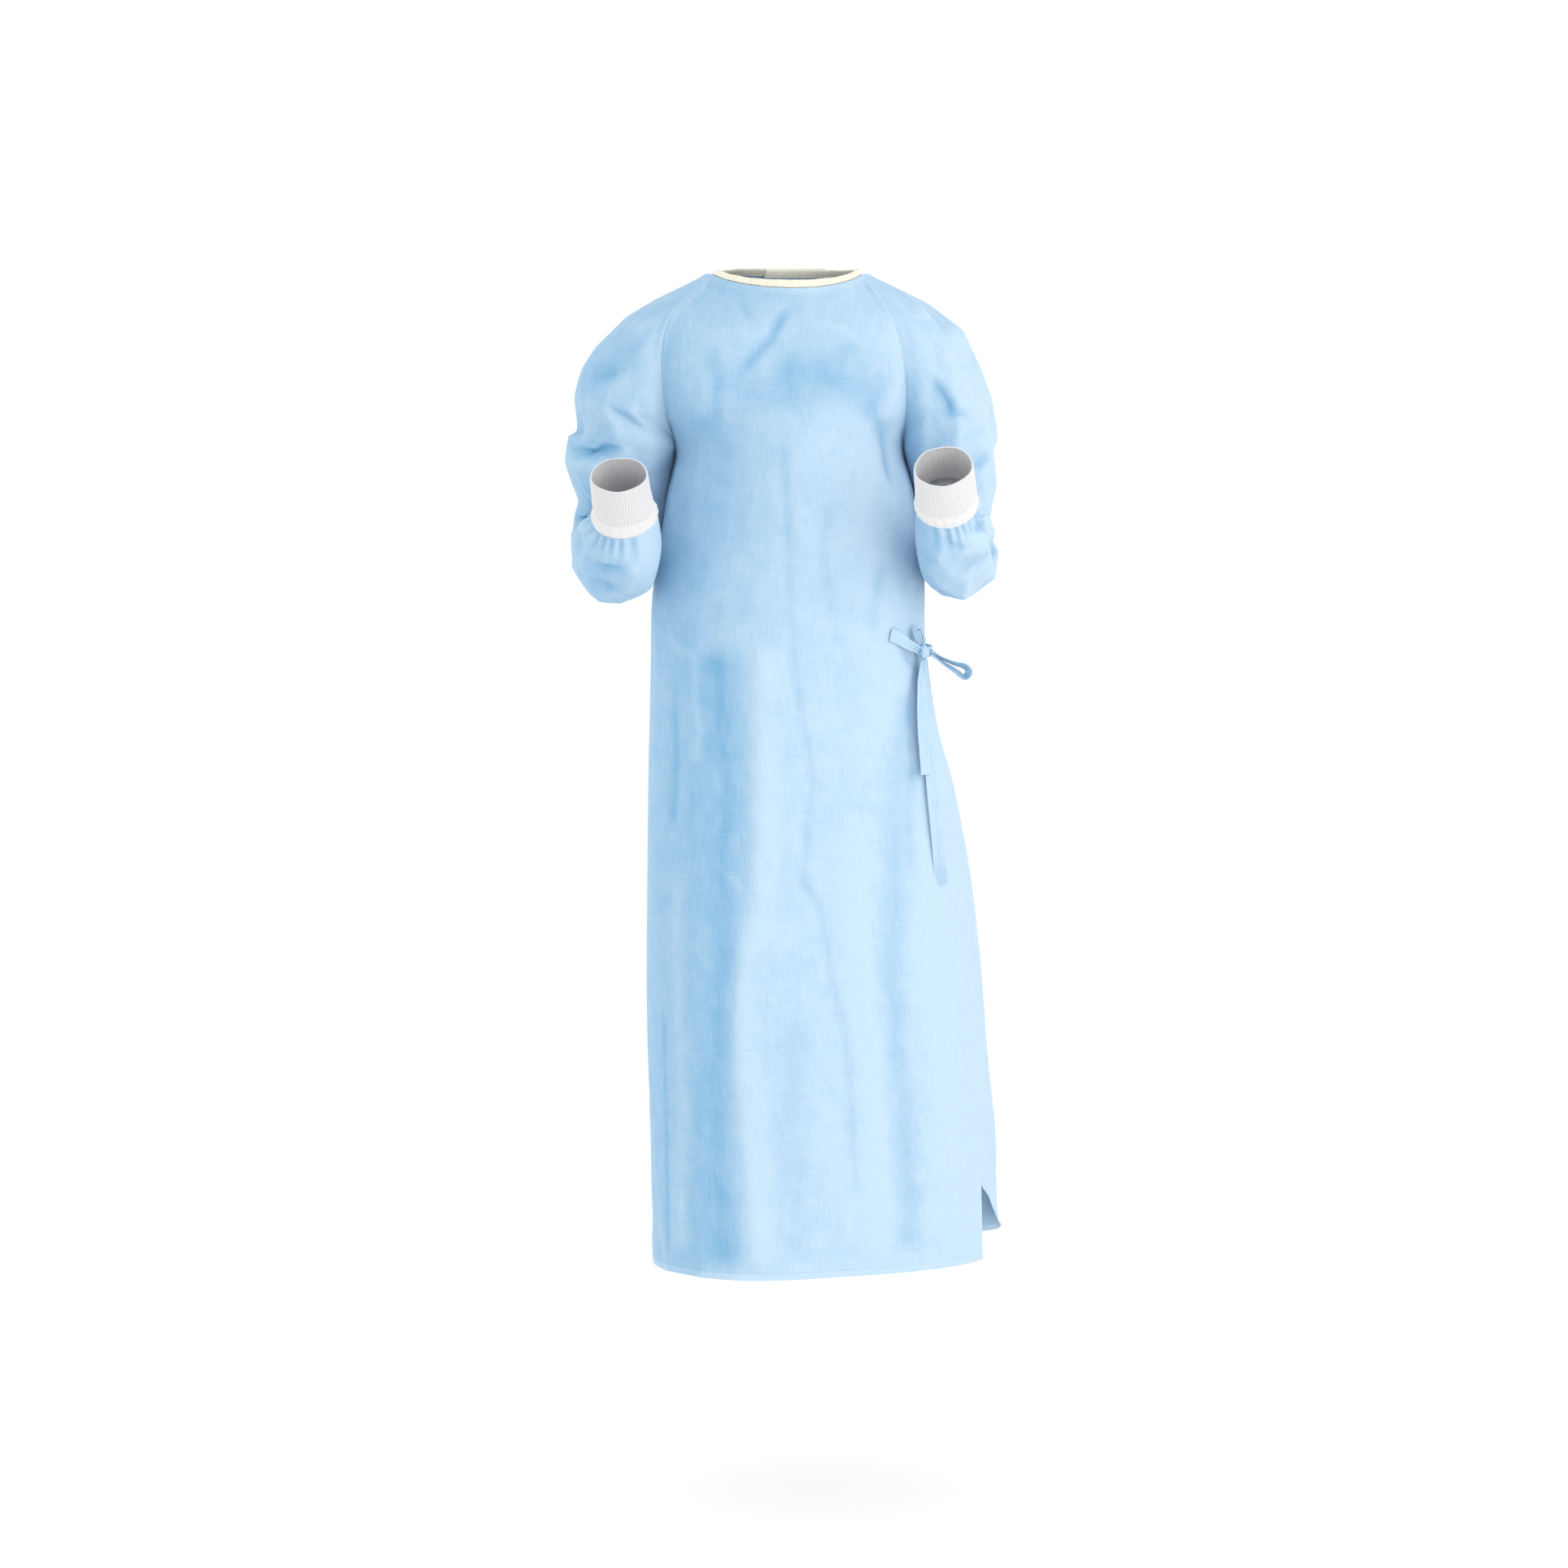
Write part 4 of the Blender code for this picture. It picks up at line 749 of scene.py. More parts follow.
RIGHT_SLEEVE_CREASES = (
    (-1, ((-0.176, -0.106), (-0.206, -0.126), (-0.238, -0.128)), 0.0110, -0.0026, 0.4),
    (-1, ((-0.236, -0.140), (-0.226, -0.180), (-0.232, -0.206)), 0.0120, 0.0022, 0.0),
    (-1, ((-0.256, -0.202), (-0.234, -0.214), (-0.204, -0.210)), 0.0075, -0.0050, 0.5),
    (-1, ((-0.262, -0.224), (-0.238, -0.236), (-0.206, -0.232)), 0.0080, 0.0042, -0.5),
    (-1, ((-0.252, -0.268), (-0.236, -0.280), (-0.206, -0.276)), 0.0065, -0.0052, 0.5),
    (-1, ((-0.256, -0.294), (-0.238, -0.306), (-0.212, -0.318)), 0.0080, 0.0040, -0.4),
    (-1, ((-0.234, -0.348), (-0.206, -0.356), (-0.176, -0.352)), 0.0070, -0.0038, 0.6),
    (-1, ((-0.238, -0.330), (-0.212, -0.338), (-0.182, -0.334)), 0.0090, 0.0024, 0.0),
    (-1, ((-0.240, -0.360), (-0.214, -0.376), (-0.180, -0.380)), 0.0120, -0.0022, 0.3),
    (1, ((-0.250, -0.180), (-0.214, -0.200), (-0.180, -0.190)), 0.0120, -0.0036, 0.4),
    (1, ((-0.252, -0.226), (-0.214, -0.250), (-0.180, -0.238)), 0.0110, 0.0034, 0.4),
    (1, ((-0.244, -0.262), (-0.206, -0.290), (-0.176, -0.282)), 0.0110, -0.0042, 0.4),
    (1, ((-0.240, -0.310), (-0.208, -0.332), (-0.180, -0.322)), 0.0120, 0.0028, 0.4),
    (1, ((-0.158, -0.070), (-0.184, -0.120), (-0.196, -0.180)), 0.0140, -0.0030, 0.3),
)
print(len(LEFT_SLEEVE_CREASES) + len(RIGHT_SLEEVE_CREASES), "creases on the sleeves")

# %% [markdown]
# Non-woven doesn't drape like woven cloth. Round a bent arm it buckles like paper, into flat facets with
# crisp edges. The facets' corners sit on a sleeve in staggered rows, with a few listed at the tips of its
# folds and in the notches between them. Triangles between the corners are the facets, and the sleeve
# follows them where it is free to.

# %% Facets of the sleeves
FACETS = {
    # metres between rows of corners, corners round the sleeve, seed
    "sleeve_left": (0.040, 8, 21),
    "sleeve_right": (0.036, 8, 34),
}
FACET_SHARE = 0.95
FACET_OUT = (-0.0020, 0.0085)    # how far out a corner stands, at least and at most
FACET_TIPS = {
    # places (x, z) seen from the front, and how far out the corner stands
    "sleeve_left": (
        (0.2434, -0.2166, 0.001), (0.2257, -0.278, -0.004), (0.235, -0.267, 0.003), (0.2363, -0.3248, 0.002),
        (0.209, -0.3733, 0.001), (0.201, -0.230, -0.005), (0.190, -0.307, -0.005), (0.199, -0.340, -0.004),
        (0.167, -0.345, 0.003), (0.206, -0.370, 0.001), (0.224, -0.330, 0.004), (0.175, -0.318, 0.002),
        (0.230, -0.242, 0.003)),
    "sleeve_right": (
        (-0.2573, -0.225, 0.003), (-0.2462, -0.2064, -0.003), (-0.2369, -0.279, -0.004),
        (-0.2522, -0.294, 0.003), (-0.2387, -0.3444, 0.0), (-0.2127, -0.3957, 0.001),
        (-0.228, -0.215, -0.006), (-0.220, -0.248, 0.002), (-0.230, -0.286, -0.004),
        (-0.206, -0.356, -0.004), (-0.226, -0.320, 0.003), (-0.185, -0.350, -0.002), (-0.242, -0.252, 0.004)),
}
FACET_JITTER = (0.25, 0.20)      # shares of the spacing that a corner strays: down the sleeve, and round it
FACET_ROOM = 0.55                # no corner comes closer to one placed by hand than this share of the spacing


def soften(field, times):
    """Even out a field on a grid by its neighbours. Its edges keep to themselves."""
    for _ in range(times):
        for axis in (0, 1):
            line = np.moveaxis(field, axis, 0)
            line = np.concatenate([line[:1], line, line[-1:]])
            field = np.moveaxis((line[:-2] + 2 * line[1:-1] + line[2:]) / 4, 0, axis)
    return field


def even_out(line, times):
    """Even out a line in place. Its two ends stay."""
    for _ in range(times):
        line[1:-1] = (line[:-2] + 2 * line[1:-1] + line[2:]) / 4


def facet_corners(name):
    """The facets' corners, each by its place on the flat sleeve, and the sleeve's girth. Below the underarm a
    corner comes again past both edges, because the sleeve is closed there."""
    pitch, count, seed = FACETS[name]
    random = np.random.default_rng(seed)
    grid, down = grids[name], maps[name][1][:, 0]
    last = grid.shape[1] - 1
    girth = np.ptp(maps[name][0][UPPER_ROWS:], axis=1).mean()
    placed = [(*seen_at(name, x, z, -1, 0.003), out) for x, z, out in FACET_TIPS[name]]
    by_hand = [(c / last * girth, down[r]) for r, c, _ in placed]
    jitter_down, jitter_round = FACET_JITTER
    for k, at in enumerate(np.arange(0.0, down[-1] + pitch, pitch)):
        for j in range(count):
            r = np.abs(down - at - random.uniform(-jitter_down, jitter_down) * pitch).argmin()
            turn = (j + k % 2 / 2 + random.uniform(-jitter_round, jitter_round)) / count % 1.0
            out = random.uniform(*FACET_OUT)
            if all(math.hypot(turn * girth - u, down[r] - v) > pitch * FACET_ROOM for u, v in by_hand):
                placed.append((r, int(round(turn * last)), out))
        edge = np.abs(down[:UPPER_ROWS] - at).argmin()
        placed += [(edge, 0, 0.0), (edge, last, 0.0)]
    corners = {}
    for r, c, out in placed:
        for turn in ((-1, 0, 1) if r >= UPPER_ROWS else (0,)):
            place = round(girth * (c / last + turn), 5), round(down[r], 5)
            corners[place] = grid[r, c] + normals[name][r, c] * out
    return corners, girth


def facet_move(name):
    """How far each point of a sleeve has to move to lie on the facets."""
    corners, girth = facet_corners(name)
    flat_places = [Vector(place) for place in corners]
    places, _, faces, sources, _, _ = delaunay_2d_cdt(flat_places, [], [], 0, NOTHING)
    points = list(corners.values())
    points = [points[source[0]] for source in sources]
    grid, down = grids[name], maps[name][1]
    round_it = np.linspace(0.0, girth, grid.shape[1])[None] + 0 * down
    flat = grid.copy()
    for a, b, c in faces:
        (ua, va), (ub, vb), (uc, vc) = places[a], places[b], places[c]
        area = (ub - ua) * (vc - va) - (uc - ua) * (vb - va)
        first = ((ub - round_it) * (vc - down) - (uc - round_it) * (vb - down)) / area
        second = ((uc - round_it) * (va - down) - (ua - round_it) * (vc - down)) / area
        inside = (first >= -NOTHING) & (second >= -NOTHING) & (first + second <= 1 + NOTHING)
        one, two = first[inside][:, None], second[inside][:, None]
        flat[inside] = points[a] * one + points[b] * two + points[c] * (1 - one - two)
    print(name, "facets:", len(faces))
    return flat - grid


facet_moves = {name: facet_move(name) for name in FACETS}

# %% [markdown]
# Now the creases, three sizes of crumples and the seams are added up for each piece. Next to a seam nothing
# may move, or the two pieces would part, so every height fades out there; only the seam's own fine groove is
# left, where both edges turn in. Under the belt no ridge may rise. The flap's troughs are kept shallow, and
# the inner layer is drawn in under it, because the two lie only 5 mm apart.
#
# A raglan sleeve is cut wide under the arm, and its slack hangs between the arm and the body, so that no
# daylight shows between them. That slack is laid last: each point moves towards the body, but a ray finds out
# how far away the body is, and stops it in time.

# %% Shape the cloth
SEAM_CALM = 0.010                # metres from a seam in which creases fade out
NECK_CALM = 0.012                # and metres below the neck
SEAM_GROOVE = 0.00018
GROOVE_WIDTH = 0.0022            # half of it
WINDOW = np.array([0.80, -0.59, -0.10])     # the way to the window side, one metre long
WINDOW_LEVEL = 0.62              # cloth that looks less that way than this gets bluer painted shade
SLEEVE_FOLD = 1.7                # the folds of a bent sleeve are this much deeper than a panel's
BODY_SIDE = 0.172                # a sleeve faces the body where it is closer than this to the middle
ARMPIT = -0.120                  # and below this height
FACING_CALM = 0.85               # the share of all creases and facets that is left out there
GATHERS = 19                     # pleats round a sleeve's end
GATHER_DEPTH = 0.0020
GATHER_REACH = 0.022
SHARP = {
    # 2 is a soft fold, 1 a hard one
    "front_panel": 1.6, "back_panel_left": 1.8, "back_flap_right": 1.8,
    "sleeve_left": 1.25, "sleeve_right": 1.25,
}
BELT_BAND = 0.020                # half the width in which the belt holds the cloth down
BELT_PLACES = ((0.108, -0.430), (0.130, -0.442), (0.145, -0.455), (0.150, -0.440))
BELT_FALL = ((0.148, -0.455), (0.150, -0.520), (0.148, -0.600), (0.156, -0.715))
CRUMPLE_GRAIN = ((0.062, 0.088), (0.024, 0.031), (0.011, 0.014))     # their sizes, across and down
CRUMPLE = {
    # heights of the large, the small and the finest crumples
    "front_panel": (0.0018, 0.0007, 0.00030),
    "back_panel_left": (0.0012, 0.0006, 0.00025),
    "back_flap_right": (0.0018, 0.0008, 0.00030),
    "sleeve_left": (0.0012, 0.0006, 0.00030),
    "sleeve_right": (0.0012, 0.0006, 0.00030),
}
TROUGH_LIMIT = {"back_flap_right": 0.0026}
ARM_SHADE = (
    # painted shade on the front behind each forearm, bluer as light back from two blue walls: x, z, half
    # sizes, amount
    (0.146, -0.325, 0.036, 0.060, 0.60),
    (-0.155, -0.330, 0.030, 0.050, 0.40),
)
FULL_TROUGH = 0.0045             # a trough this deep gets its full painted shade
VALLEY = 0.0012                  # and so has a hollow this deep among its surroundings
TUCKED_IN = 0.0020               # how far the inner layer is drawn in under the flap
SLACK = 0.0320                   # how far a sleeve's slack may hang in towards the body
SLACK_MIDDLE = (0.056, -0.255)   # the middle of it, in y and z
SLACK_HALF = (0.040, 0.080)      # its half sizes, in y and z
SLACK_RUFFLE = (0.022, 0.030)    # the size of its ruffles, across and down
SLACK_CLEAR = 0.0020             # metres kept between the slack and the body
SLACK_LEAST = 0.0003             # a smaller move is left out
CUFF_TUCK = 0.0014               # how far a sleeve's end reaches in under the cuff's rolled seam
CUFF_TUCK_REACH = 0.005


def seam_distance(name):
    """Metres from each point to the piece's nearest sewn edge, along the map."""
    across, down = maps[name]
    away = np.full(across.shape, 1.0)
    for first, first_column, _, second, second_column, _, rows in SEAMS:
        for piece, column in ((first, first_column), (second, second_column)):
            if piece == name:
                away[rows] = np.minimum(away[rows], np.abs(across[rows] - across[rows, column][:, None]))
    return away


def hem_distance(name):
    """Metres from each point to the hem, and on the back pieces to the free edge."""
    across, down = maps[name]
    if name.startswith("sleeve"):
        return np.full(across.shape, 1.0)
    away = down[-1:] - down
    if name == "back_flap_right":
        away = np.minimum(away, across - across[:, :1])
    if name == "back_panel_left":
        away = np.minimum(away, across[:, -1:] - across)
    return away


def corners_of(table):
    """What a table of rows and columns holds at the four corners of each cell, going round it."""
    return np.stack([table[:-1, :-1], table[1:, :-1], table[1:, 1:], table[:-1, 1:]], axis=2)


def ray_tree(sheets):
    """Some sheets, as something that rays can hit."""
    points, faces = [], []
    for grid in sheets:
        rows, columns = grid.shape[:2]
        number = len(points) + np.arange(rows * columns).reshape(rows, columns)
        faces += corners_of(number).reshape(-1, 4).tolist()
        points += grid.reshape(-1, 3).tolist()
    return BVHTree.FromPolygons(points, faces)


BODY_TREE = ray_tree([grids[name] for name in ("front_panel", "back_panel_left", "back_flap_right")])


def lit_side_shade(normal):
    """Painted shade for cloth turned away from the window side: about 0 where it looks to the front or back.
    """
    looks = np.stack([normal[..., 0], -np.abs(normal[..., 1]), normal[..., 2]], -1) @ WINDOW
    return np.clip(WINDOW_LEVEL - looks, -0.4, 0.55)


def hang_slack(name, made):
    """Let a sleeve's slack hang in towards the body, and stop it just short of the body."""
    (y, z), (deep, tall) = SLACK_MIDDLE, SLACK_HALF
    inward = -1.0 if name == "sleeve_left" else 1.0
    facing = np.clip(normals[name][..., 0] * inward, 0.0, 1.0) ** 0.6
    near = np.exp(-((made[..., 1] - y) / deep) ** 2 - ((made[..., 2] - z) / tall) ** 2)
    ruffle = 1 + 0.25 * cloudy(*maps[name], *SLACK_RUFFLE, 5)
    wanted = SLACK * facing * near * ruffle
    for r, c in zip(*np.nonzero(wanted > SLACK_LEAST)):
        _, _, _, room = BODY_TREE.ray_cast(Vector(made[r, c]), Vector((inward, 0.0, 0.0)))
        if room is not None:
            wanted[r, c] = min(wanted[r, c], max(room - SLACK_CLEAR, 0.0))
    made = made.copy()
    made[..., 0] += inward * np.where(wanted > SLACK_LEAST, wanted, 0.0)
    print(name, "slack hangs in by up to", wanted.max().round(4))
    return made


def calm_near_body(name):
    """The share of its creases that a sleeve keeps: fewer where it faces the body, below the armpit."""
    x, z = grids[name][..., 0], grids[name][..., 2]
    return 1 - FACING_CALM * (ease((BODY_SIDE - np.abs(x)) / 0.02) * ease((ARMPIT - z) / 0.05))


def shape(name, creases):
    """Lay the creases, crumples and seams on a piece. Gives its points, and the numbers painted on them."""
    across, down = maps[name]
    sleeve = name.startswith("sleeve")
    deeper = SLEEVE_FOLD if sleeve else 1.0
    height = np.zeros(across.shape)
    for facing, points, half_width, size, lean in creases:
        height += crease(name, facing, points, half_width, size * deeper, lean, sharp=SHARP[name])
    placed = height.copy()
    seed = sum(ord(letter) for letter in name)
    for k, (size, grain) in enumerate(zip(CRUMPLE[name], CRUMPLE_GRAIN)):
        height += size * crumpled(across, down, *grain, seed + k)
    if name in TROUGH_LIMIT:
        height = np.where(height < 0, TROUGH_LIMIT[name] * np.tanh(height / TROUGH_LIMIT[name]), height)
    if name == "back_panel_left":
        height -= TUCKED_IN
    if sleeve:
        from_cuff = down[-1:] - down
        turn = np.arange(across.shape[1])[None] / (across.shape[1] - 1) * 2 * np.pi
        wave = np.sin(GATHERS * turn + 2.2 * np.sin(3 * turn) + 14.0 * from_cuff)
        height += GATHER_DEPTH * wave * np.exp(-(from_cuff / GATHER_REACH) ** 2) * ease(from_cuff / 0.004)
        calm = calm_near_body(name)
        height *= calm
        edge = np.minimum(np.minimum(across[:, -1:] - across, across - across[:, :1]), 1.0)
        row = np.arange(len(down))[:, None]
        height *= np.where(row > UPPER_ROWS + 4, ease(edge / SEAM_CALM + 0.001), 1.0)
        free = np.where(row > UPPER_ROWS, np.hypot(edge, down - down[UPPER_ROWS]), edge)
        share = FACET_SHARE * ease((free - 0.008) / 0.040) * ease((from_cuff - 0.012) / 0.030)
        share *= calm * ease((down - 0.020) / 0.060)
        facets = soften(facet_moves[name], 2) * share[..., None]
    seam = seam_distance(name)
    height *= ease(seam / SEAM_CALM) * ease(down / NECK_CALM)
    if name == "front_panel":
        still = np.full(across.shape, 1.0)
        for path in (BELT_PLACES, BELT_FALL):
            still = np.minimum(still, np.abs(1 - crease(name, -1, path, BELT_BAND, 1.0, fade=0.001)))
        height = np.where(height > 0, height * still ** 2, height)
    height -= SEAM_GROOVE * np.exp(-(seam / GROOVE_WIDTH) ** 2)
    made = grids[name] + normals[name] * height[..., None]
    relief = height
    if sleeve:
        relief = height + (facets * normals[name]).sum(axis=2)
        forward = CUFF_DIRECTION[name.split("_")[1]]
        tucked = forward * (CUFF_TUCK * np.exp(-(from_cuff / CUFF_TUCK_REACH) ** 2))[..., None]
        made = hang_slack(name, made + facets + tucked)
    # Painted shade: troughs and hollows among their surroundings are painted bluer, and so are the front
    # behind each forearm and cloth turned from the window side.
    valley = np.clip((soften(relief, 12) - relief) / VALLEY, -0.5, 1.0)
    trough = -(placed + 0.25 * (height - placed)) / (FULL_TROUGH * deeper)
    trough = np.clip(trough, -0.25, 1.0) + 0.30 * valley
    if name == "front_panel":
        for x, z, wide, tall, amount in ARM_SHADE:
            trough += amount * np.exp(-((made[..., 0] - x) / wide) ** 2 - ((made[..., 2] - z) / tall) ** 2)
    turned = lit_side_shade(soften(normals_of(made, closed_from.get(name)), 2))
    return made, {"trough": trough, "turned": turned, "seam": seam, "hem": hem_distance(name)}


ALL_CREASES = {
    "front_panel": tuple((-1, *row) for row in FRONT_CREASES),
    "back_panel_left": INNER_CREASES,
    "back_flap_right": FLAP_CREASES,
    "sleeve_left": LEFT_SLEEVE_CREASES,
    "sleeve_right": RIGHT_SLEEVE_CREASES,
}
shaped = {name: shape(name, creases) for name, creases in ALL_CREASES.items()}
print("shaped:", ", ".join(shaped))

# %% [markdown]
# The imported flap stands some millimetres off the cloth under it, up to its free edge. A real one lies down
# there. So the flap is bent in along that edge: a ray from each point finds the cloth under it, and the point
# moves until about a millimetre is left. Near the neck the flap keeps its place, as its binding is there.

# %% Lay the flap's free edge down
LAID_GAP = 0.0013                # metres from the cloth under it to the flap's outer face
LAID_BAND = (0.012, 0.060)       # metres from the edge: laid down up to the first, in place from the second
LAID_START = (0.030, 0.075)      # metres below the neck: in place up to the first, laid down from the second
LAID_RAY = 0.003                 # a ray to the cloth starts this far outside the flap
LAID_REACH = 0.020


def lay_edge(made):
    """The flap with its free edge on the cloth under it."""
    under = ray_tree([shaped[name][0] for name in ("front_panel", "back_panel_left", "sleeve_left")])
    across, down = maps["back_flap_right"]
    near, far = LAID_BAND
    share = 1 - ease((across - across[:, :1] - near) / (far - near))
    share *= ease((down - LAID_START[0]) / (LAID_START[1] - LAID_START[0]))
    outward = soften(normals_of(made), 6)
    move = np.zeros(across.shape)
    for r, c in zip(*np.nonzero(share > 0.001)):
        start, way = Vector(made[r, c] + outward[r, c] * LAID_RAY), Vector(-outward[r, c])
        _, _, _, room = under.ray_cast(start, way, LAID_REACH)
        if room is not None:
            move[r, c] = room - LAID_RAY - LAID_GAP
    move = soften(move, 5) * share
    print("flap's edge laid in by up to", move.max().round(4), "out by up to", -move.min().round(4))
    return made - outward * move[..., None]


flap, painted = shaped["back_flap_right"]
flap = lay_edge(flap)
# The flap's painted shade from the window side is worked out again for its new shape.
painted["turned"] = lit_side_shade(normals_of(flap))
shaped["back_flap_right"] = flap, painted

# %% [markdown]
# A grid becomes a mesh with its map and its painted numbers. Solidify then gives it a thickness, inwards, so
# that the outer face stays where it is. Its narrow rim must not share smooth normals with the face: at a
# cloth's edge they would turn the shading from the eye and draw a black line. So the wall is made real, and
# every edge as steep as a rim's is marked sharp.

# %% Cloth meshes
CLOTH_THICKNESS = 0.0006
RIM_ANGLE = 60.0                 # degrees


def add_mesh(name, points, faces, finish):
    """A smooth mesh object at the origin."""
    mesh = bpy.data.meshes.new(name)
    mesh.from_pydata(np.asarray(points).tolist(), [], faces)
    mesh.materials.append(finish)
    mesh.shade_smooth()
    made = bpy.data.objects.new(name, mesh)
    bpy.context.scene.collection.objects.link(made)
    return made


def add_sheet(name, grid, cloth_map, painted, finish, closed=None):
    """A sheet from a grid. From row `closed` on, a row's last point is its first one."""
    rows, columns = grid.shape[:2]
    number = np.arange(rows * columns).reshape(rows, columns)
    if closed is not None:
        number[closed:, -1] = number[closed:, 0]
    used, fresh = np.unique(number, return_inverse=True)
    number = fresh.reshape(rows, columns)
    made = add_mesh(name, grid.reshape(-1, 3)[used], corners_of(number).reshape(-1, 4).tolist(), finish)
    layer = made.data.uv_layers.new(name="cloth")
    layer.data.foreach_set("uv", corners_of(np.stack(cloth_map, axis=-1)).reshape(-1))
    for key, values in painted.items():
        field = made.data.attributes.new(key, "FLOAT", "POINT")
        field.data.foreach_set("value", values.reshape(-1)[used].astype(np.float32))
    return made


def thicken(made, thickness, offset=-1.0):
    """Give a sheet its thickness: inwards, or to both sides with an offset of 0."""
    solid = made.modifiers.new("thickness", "SOLIDIFY")
    solid.thickness = thickness
    solid.offset = offset
    wall = bpy.data.meshes.new_from_object(made.evaluated_get(bpy.context.evaluated_depsgraph_get()))
    wall.set_sharp_from_angle(angle=math.radians(RIM_ANGLE))
    made.modifiers.clear()
    made.data = wall
    return made


pieces = {}
for name, (grid, painted) in shaped.items():
    made = thicken(
        add_sheet("cloth_" + name, grid, maps[name], painted, CLOTH, closed_from.get(name)), CLOTH_THICKNESS)
    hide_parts(name)
    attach(made, BODY)
    width, length = np.ptp(maps[name][0], axis=1).max(), maps[name][1][-1, 0]
    pieces[name] = made

# %% [markdown]
# ## Knit cuffs
#
# A cuff is a short tube of rib knit, sewn to the sleeve with an overlocked seam that rolls outwards. The ribs
# run along the arm. They are cut into the mesh, because their shadows are what makes knit look like knit, and
# painted shade between them deepens those shadows; the loops inside each rib are only a bump.

# %% Knit
KNIT_WHITE = (0.76, 0.75, 0.75, 1.0)
KNIT_SHADE = (0.58, 0.58, 0.62, 1.0)
LOOPS_DOWN = 4200.0              # radians a metre
LOOPS_ROUND = 2400.0
FUZZ = 1500.0                    # cells of noise a metre


def rib_knit():
    """White knit, with painted shade between its ribs."""
    made, maker, feed = new_material("fine_rib_knit")
    place = maker.node("ShaderNodeUVMap", {"uv_map": "cloth"})
    across, down = maker.parts(place)
    columns = maker.math("ABSOLUTE", maker.math("SINE", across * LOOPS_ROUND))
    loops = maker.math("SINE", down * LOOPS_DOWN + columns * 2.0)
    fuzz = maker.noise(place, FUZZ, 3.0, 0.6)
    share = maker.clamped(maker.painted("trough") * 0.9 + loops * 0.05 + (fuzz - 0.5) * 0.25, 0.0, 1.0)
    feed(
        Base_Color=maker.mixed(share, KNIT_WHITE, KNIT_SHADE),
        Normal=maker.bump(loops * 0.5 + fuzz, 0.22, 0.0004),
        Roughness=0.92, Sheen_Weight=0.35, Sheen_Roughness=0.6, Specular_IOR_Level=0.2)
    return made


KNIT = rib_knit()
print("knit", KNIT.name)

# %% Cuff tubes
RIBS = 62
RIB_DEPTH = 0.00045
CUFF_FINE = (RIBS * 5, 56)       # points round, and rows along
KNIT_THICKNESS = 0.0012


def cuff_frame(side):
    """A sleeve's end: its centre, its way out, and two directions across it."""
    ring = walls["sleeve_" + side][-1][:-1]
    forward = CUFF_DIRECTION[side] / np.linalg.norm(CUFF_DIRECTION[side])
    outward = np.array([1.0 if side == "left" else -1.0, 0.0, 0.0])
    away = outward - forward * (outward @ forward)
    away /= np.linalg.norm(away)
    return ring.mean(axis=0), forward, away, np.cross(away, forward)


CUFF_SHARES = (0.00, 0.035, 0.10, 0.165, 0.20, 0.24, 0.36, 0.60, 0.85, 0.96, 1.00)      # of its length
CUFF_RADII = {
    "left": (0.0335, 0.0347, 0.0350, 0.0343, 0.0322, 0.0323, 0.0326, 0.0318, 0.0314, 0.0313, 0.0308),
    "right": (0.0360, 0.0373, 0.0376, 0.0367, 0.0334, 0.0334, 0.0334, 0.0324, 0.0320, 0.0319, 0.0314),
}
CUFF_LENGTH = 0.062
CUFF_SHIFT = 0.0003              # metres from the sleeve's end to the cuff's
SEAM_PUCKER = 0.0005             # how deep the rolled seam puckers


def cuff_grid(side):
    """A cuff's outer points, its map, and the painted shade of each point between the ribs."""
    centre, forward, away, under = cuff_frame(side)
    round_, rows = CUFF_FINE
    turn = np.linspace(0.0, 2 * np.pi, round_ + 1)[None]
    share = np.linspace(0.0, 1.0, rows + 1)[:, None]
    radius = np.interp(share, CUFF_SHARES, CUFF_RADII[side])
    even_out(radius, 3)
    ribs = np.sin(RIBS * turn + 0.5 * np.sin(5 * turn) + 1.3 * share)
    on_knit = ease((share - 0.19) / 0.05)
    pucker = np.sin(23 * turn + 1.5 * np.sin(2 * turn)) * np.exp(-((share - 0.10) / 0.09) ** 2)
    sag = 0.0009 * np.sin(2 * turn + 0.7) + 0.0005 * np.sin(5 * turn + 3.0 * share)
    radius = radius + RIB_DEPTH * ribs * on_knit + SEAM_PUCKER * pucker + sag * ease(share / 0.3)
    if side == "left":
        turn = -turn
    centre = centre + forward * CUFF_SHIFT
    grid = (
        centre + forward * (share * CUFF_LENGTH)[..., None]
        + (away * np.cos(turn)[..., None] + under * np.sin(turn)[..., None]) * radius[..., None])
    across = np.abs(turn) * radius.mean() + 0 * share
    return grid, (across, share * CUFF_LENGTH + 0 * turn), np.clip(0.35 - 0.5 * ribs, 0, 1) * on_knit


for side in ("left", "right"):
    grid, cloth_map, trough = cuff_grid(side)
    made = add_sheet("knit_cuff_" + side, grid, cloth_map, {"trough": trough}, KNIT, 0)
    thicken(made, KNIT_THICKNESS)
    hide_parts("cuff_" + side)
    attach(made, BODY)
    pieces["cuff_" + side] = made

# %% [markdown]
# ## Neck binding
#
# One tape covers the neck's raw edges, folded in half over them and stitched through. It runs from the
# inner back, over the left shoulder, across the front and over the right one to the flap's edge. Its path
# is the first row of each piece in turn.

# %% Binding tape
BINDING_HEIGHT = 0.0093
BINDING_THICKNESS = 0.0028
BINDING_LIFT = 0.0008
BINDING_FOOT = 0.0006            # metres from the neck's edge up to the binding's lower edge
BINDING_STEPS = 330              # points along it
NECK_STEP = 0.0006               # a shorter step between two pieces' points is left out


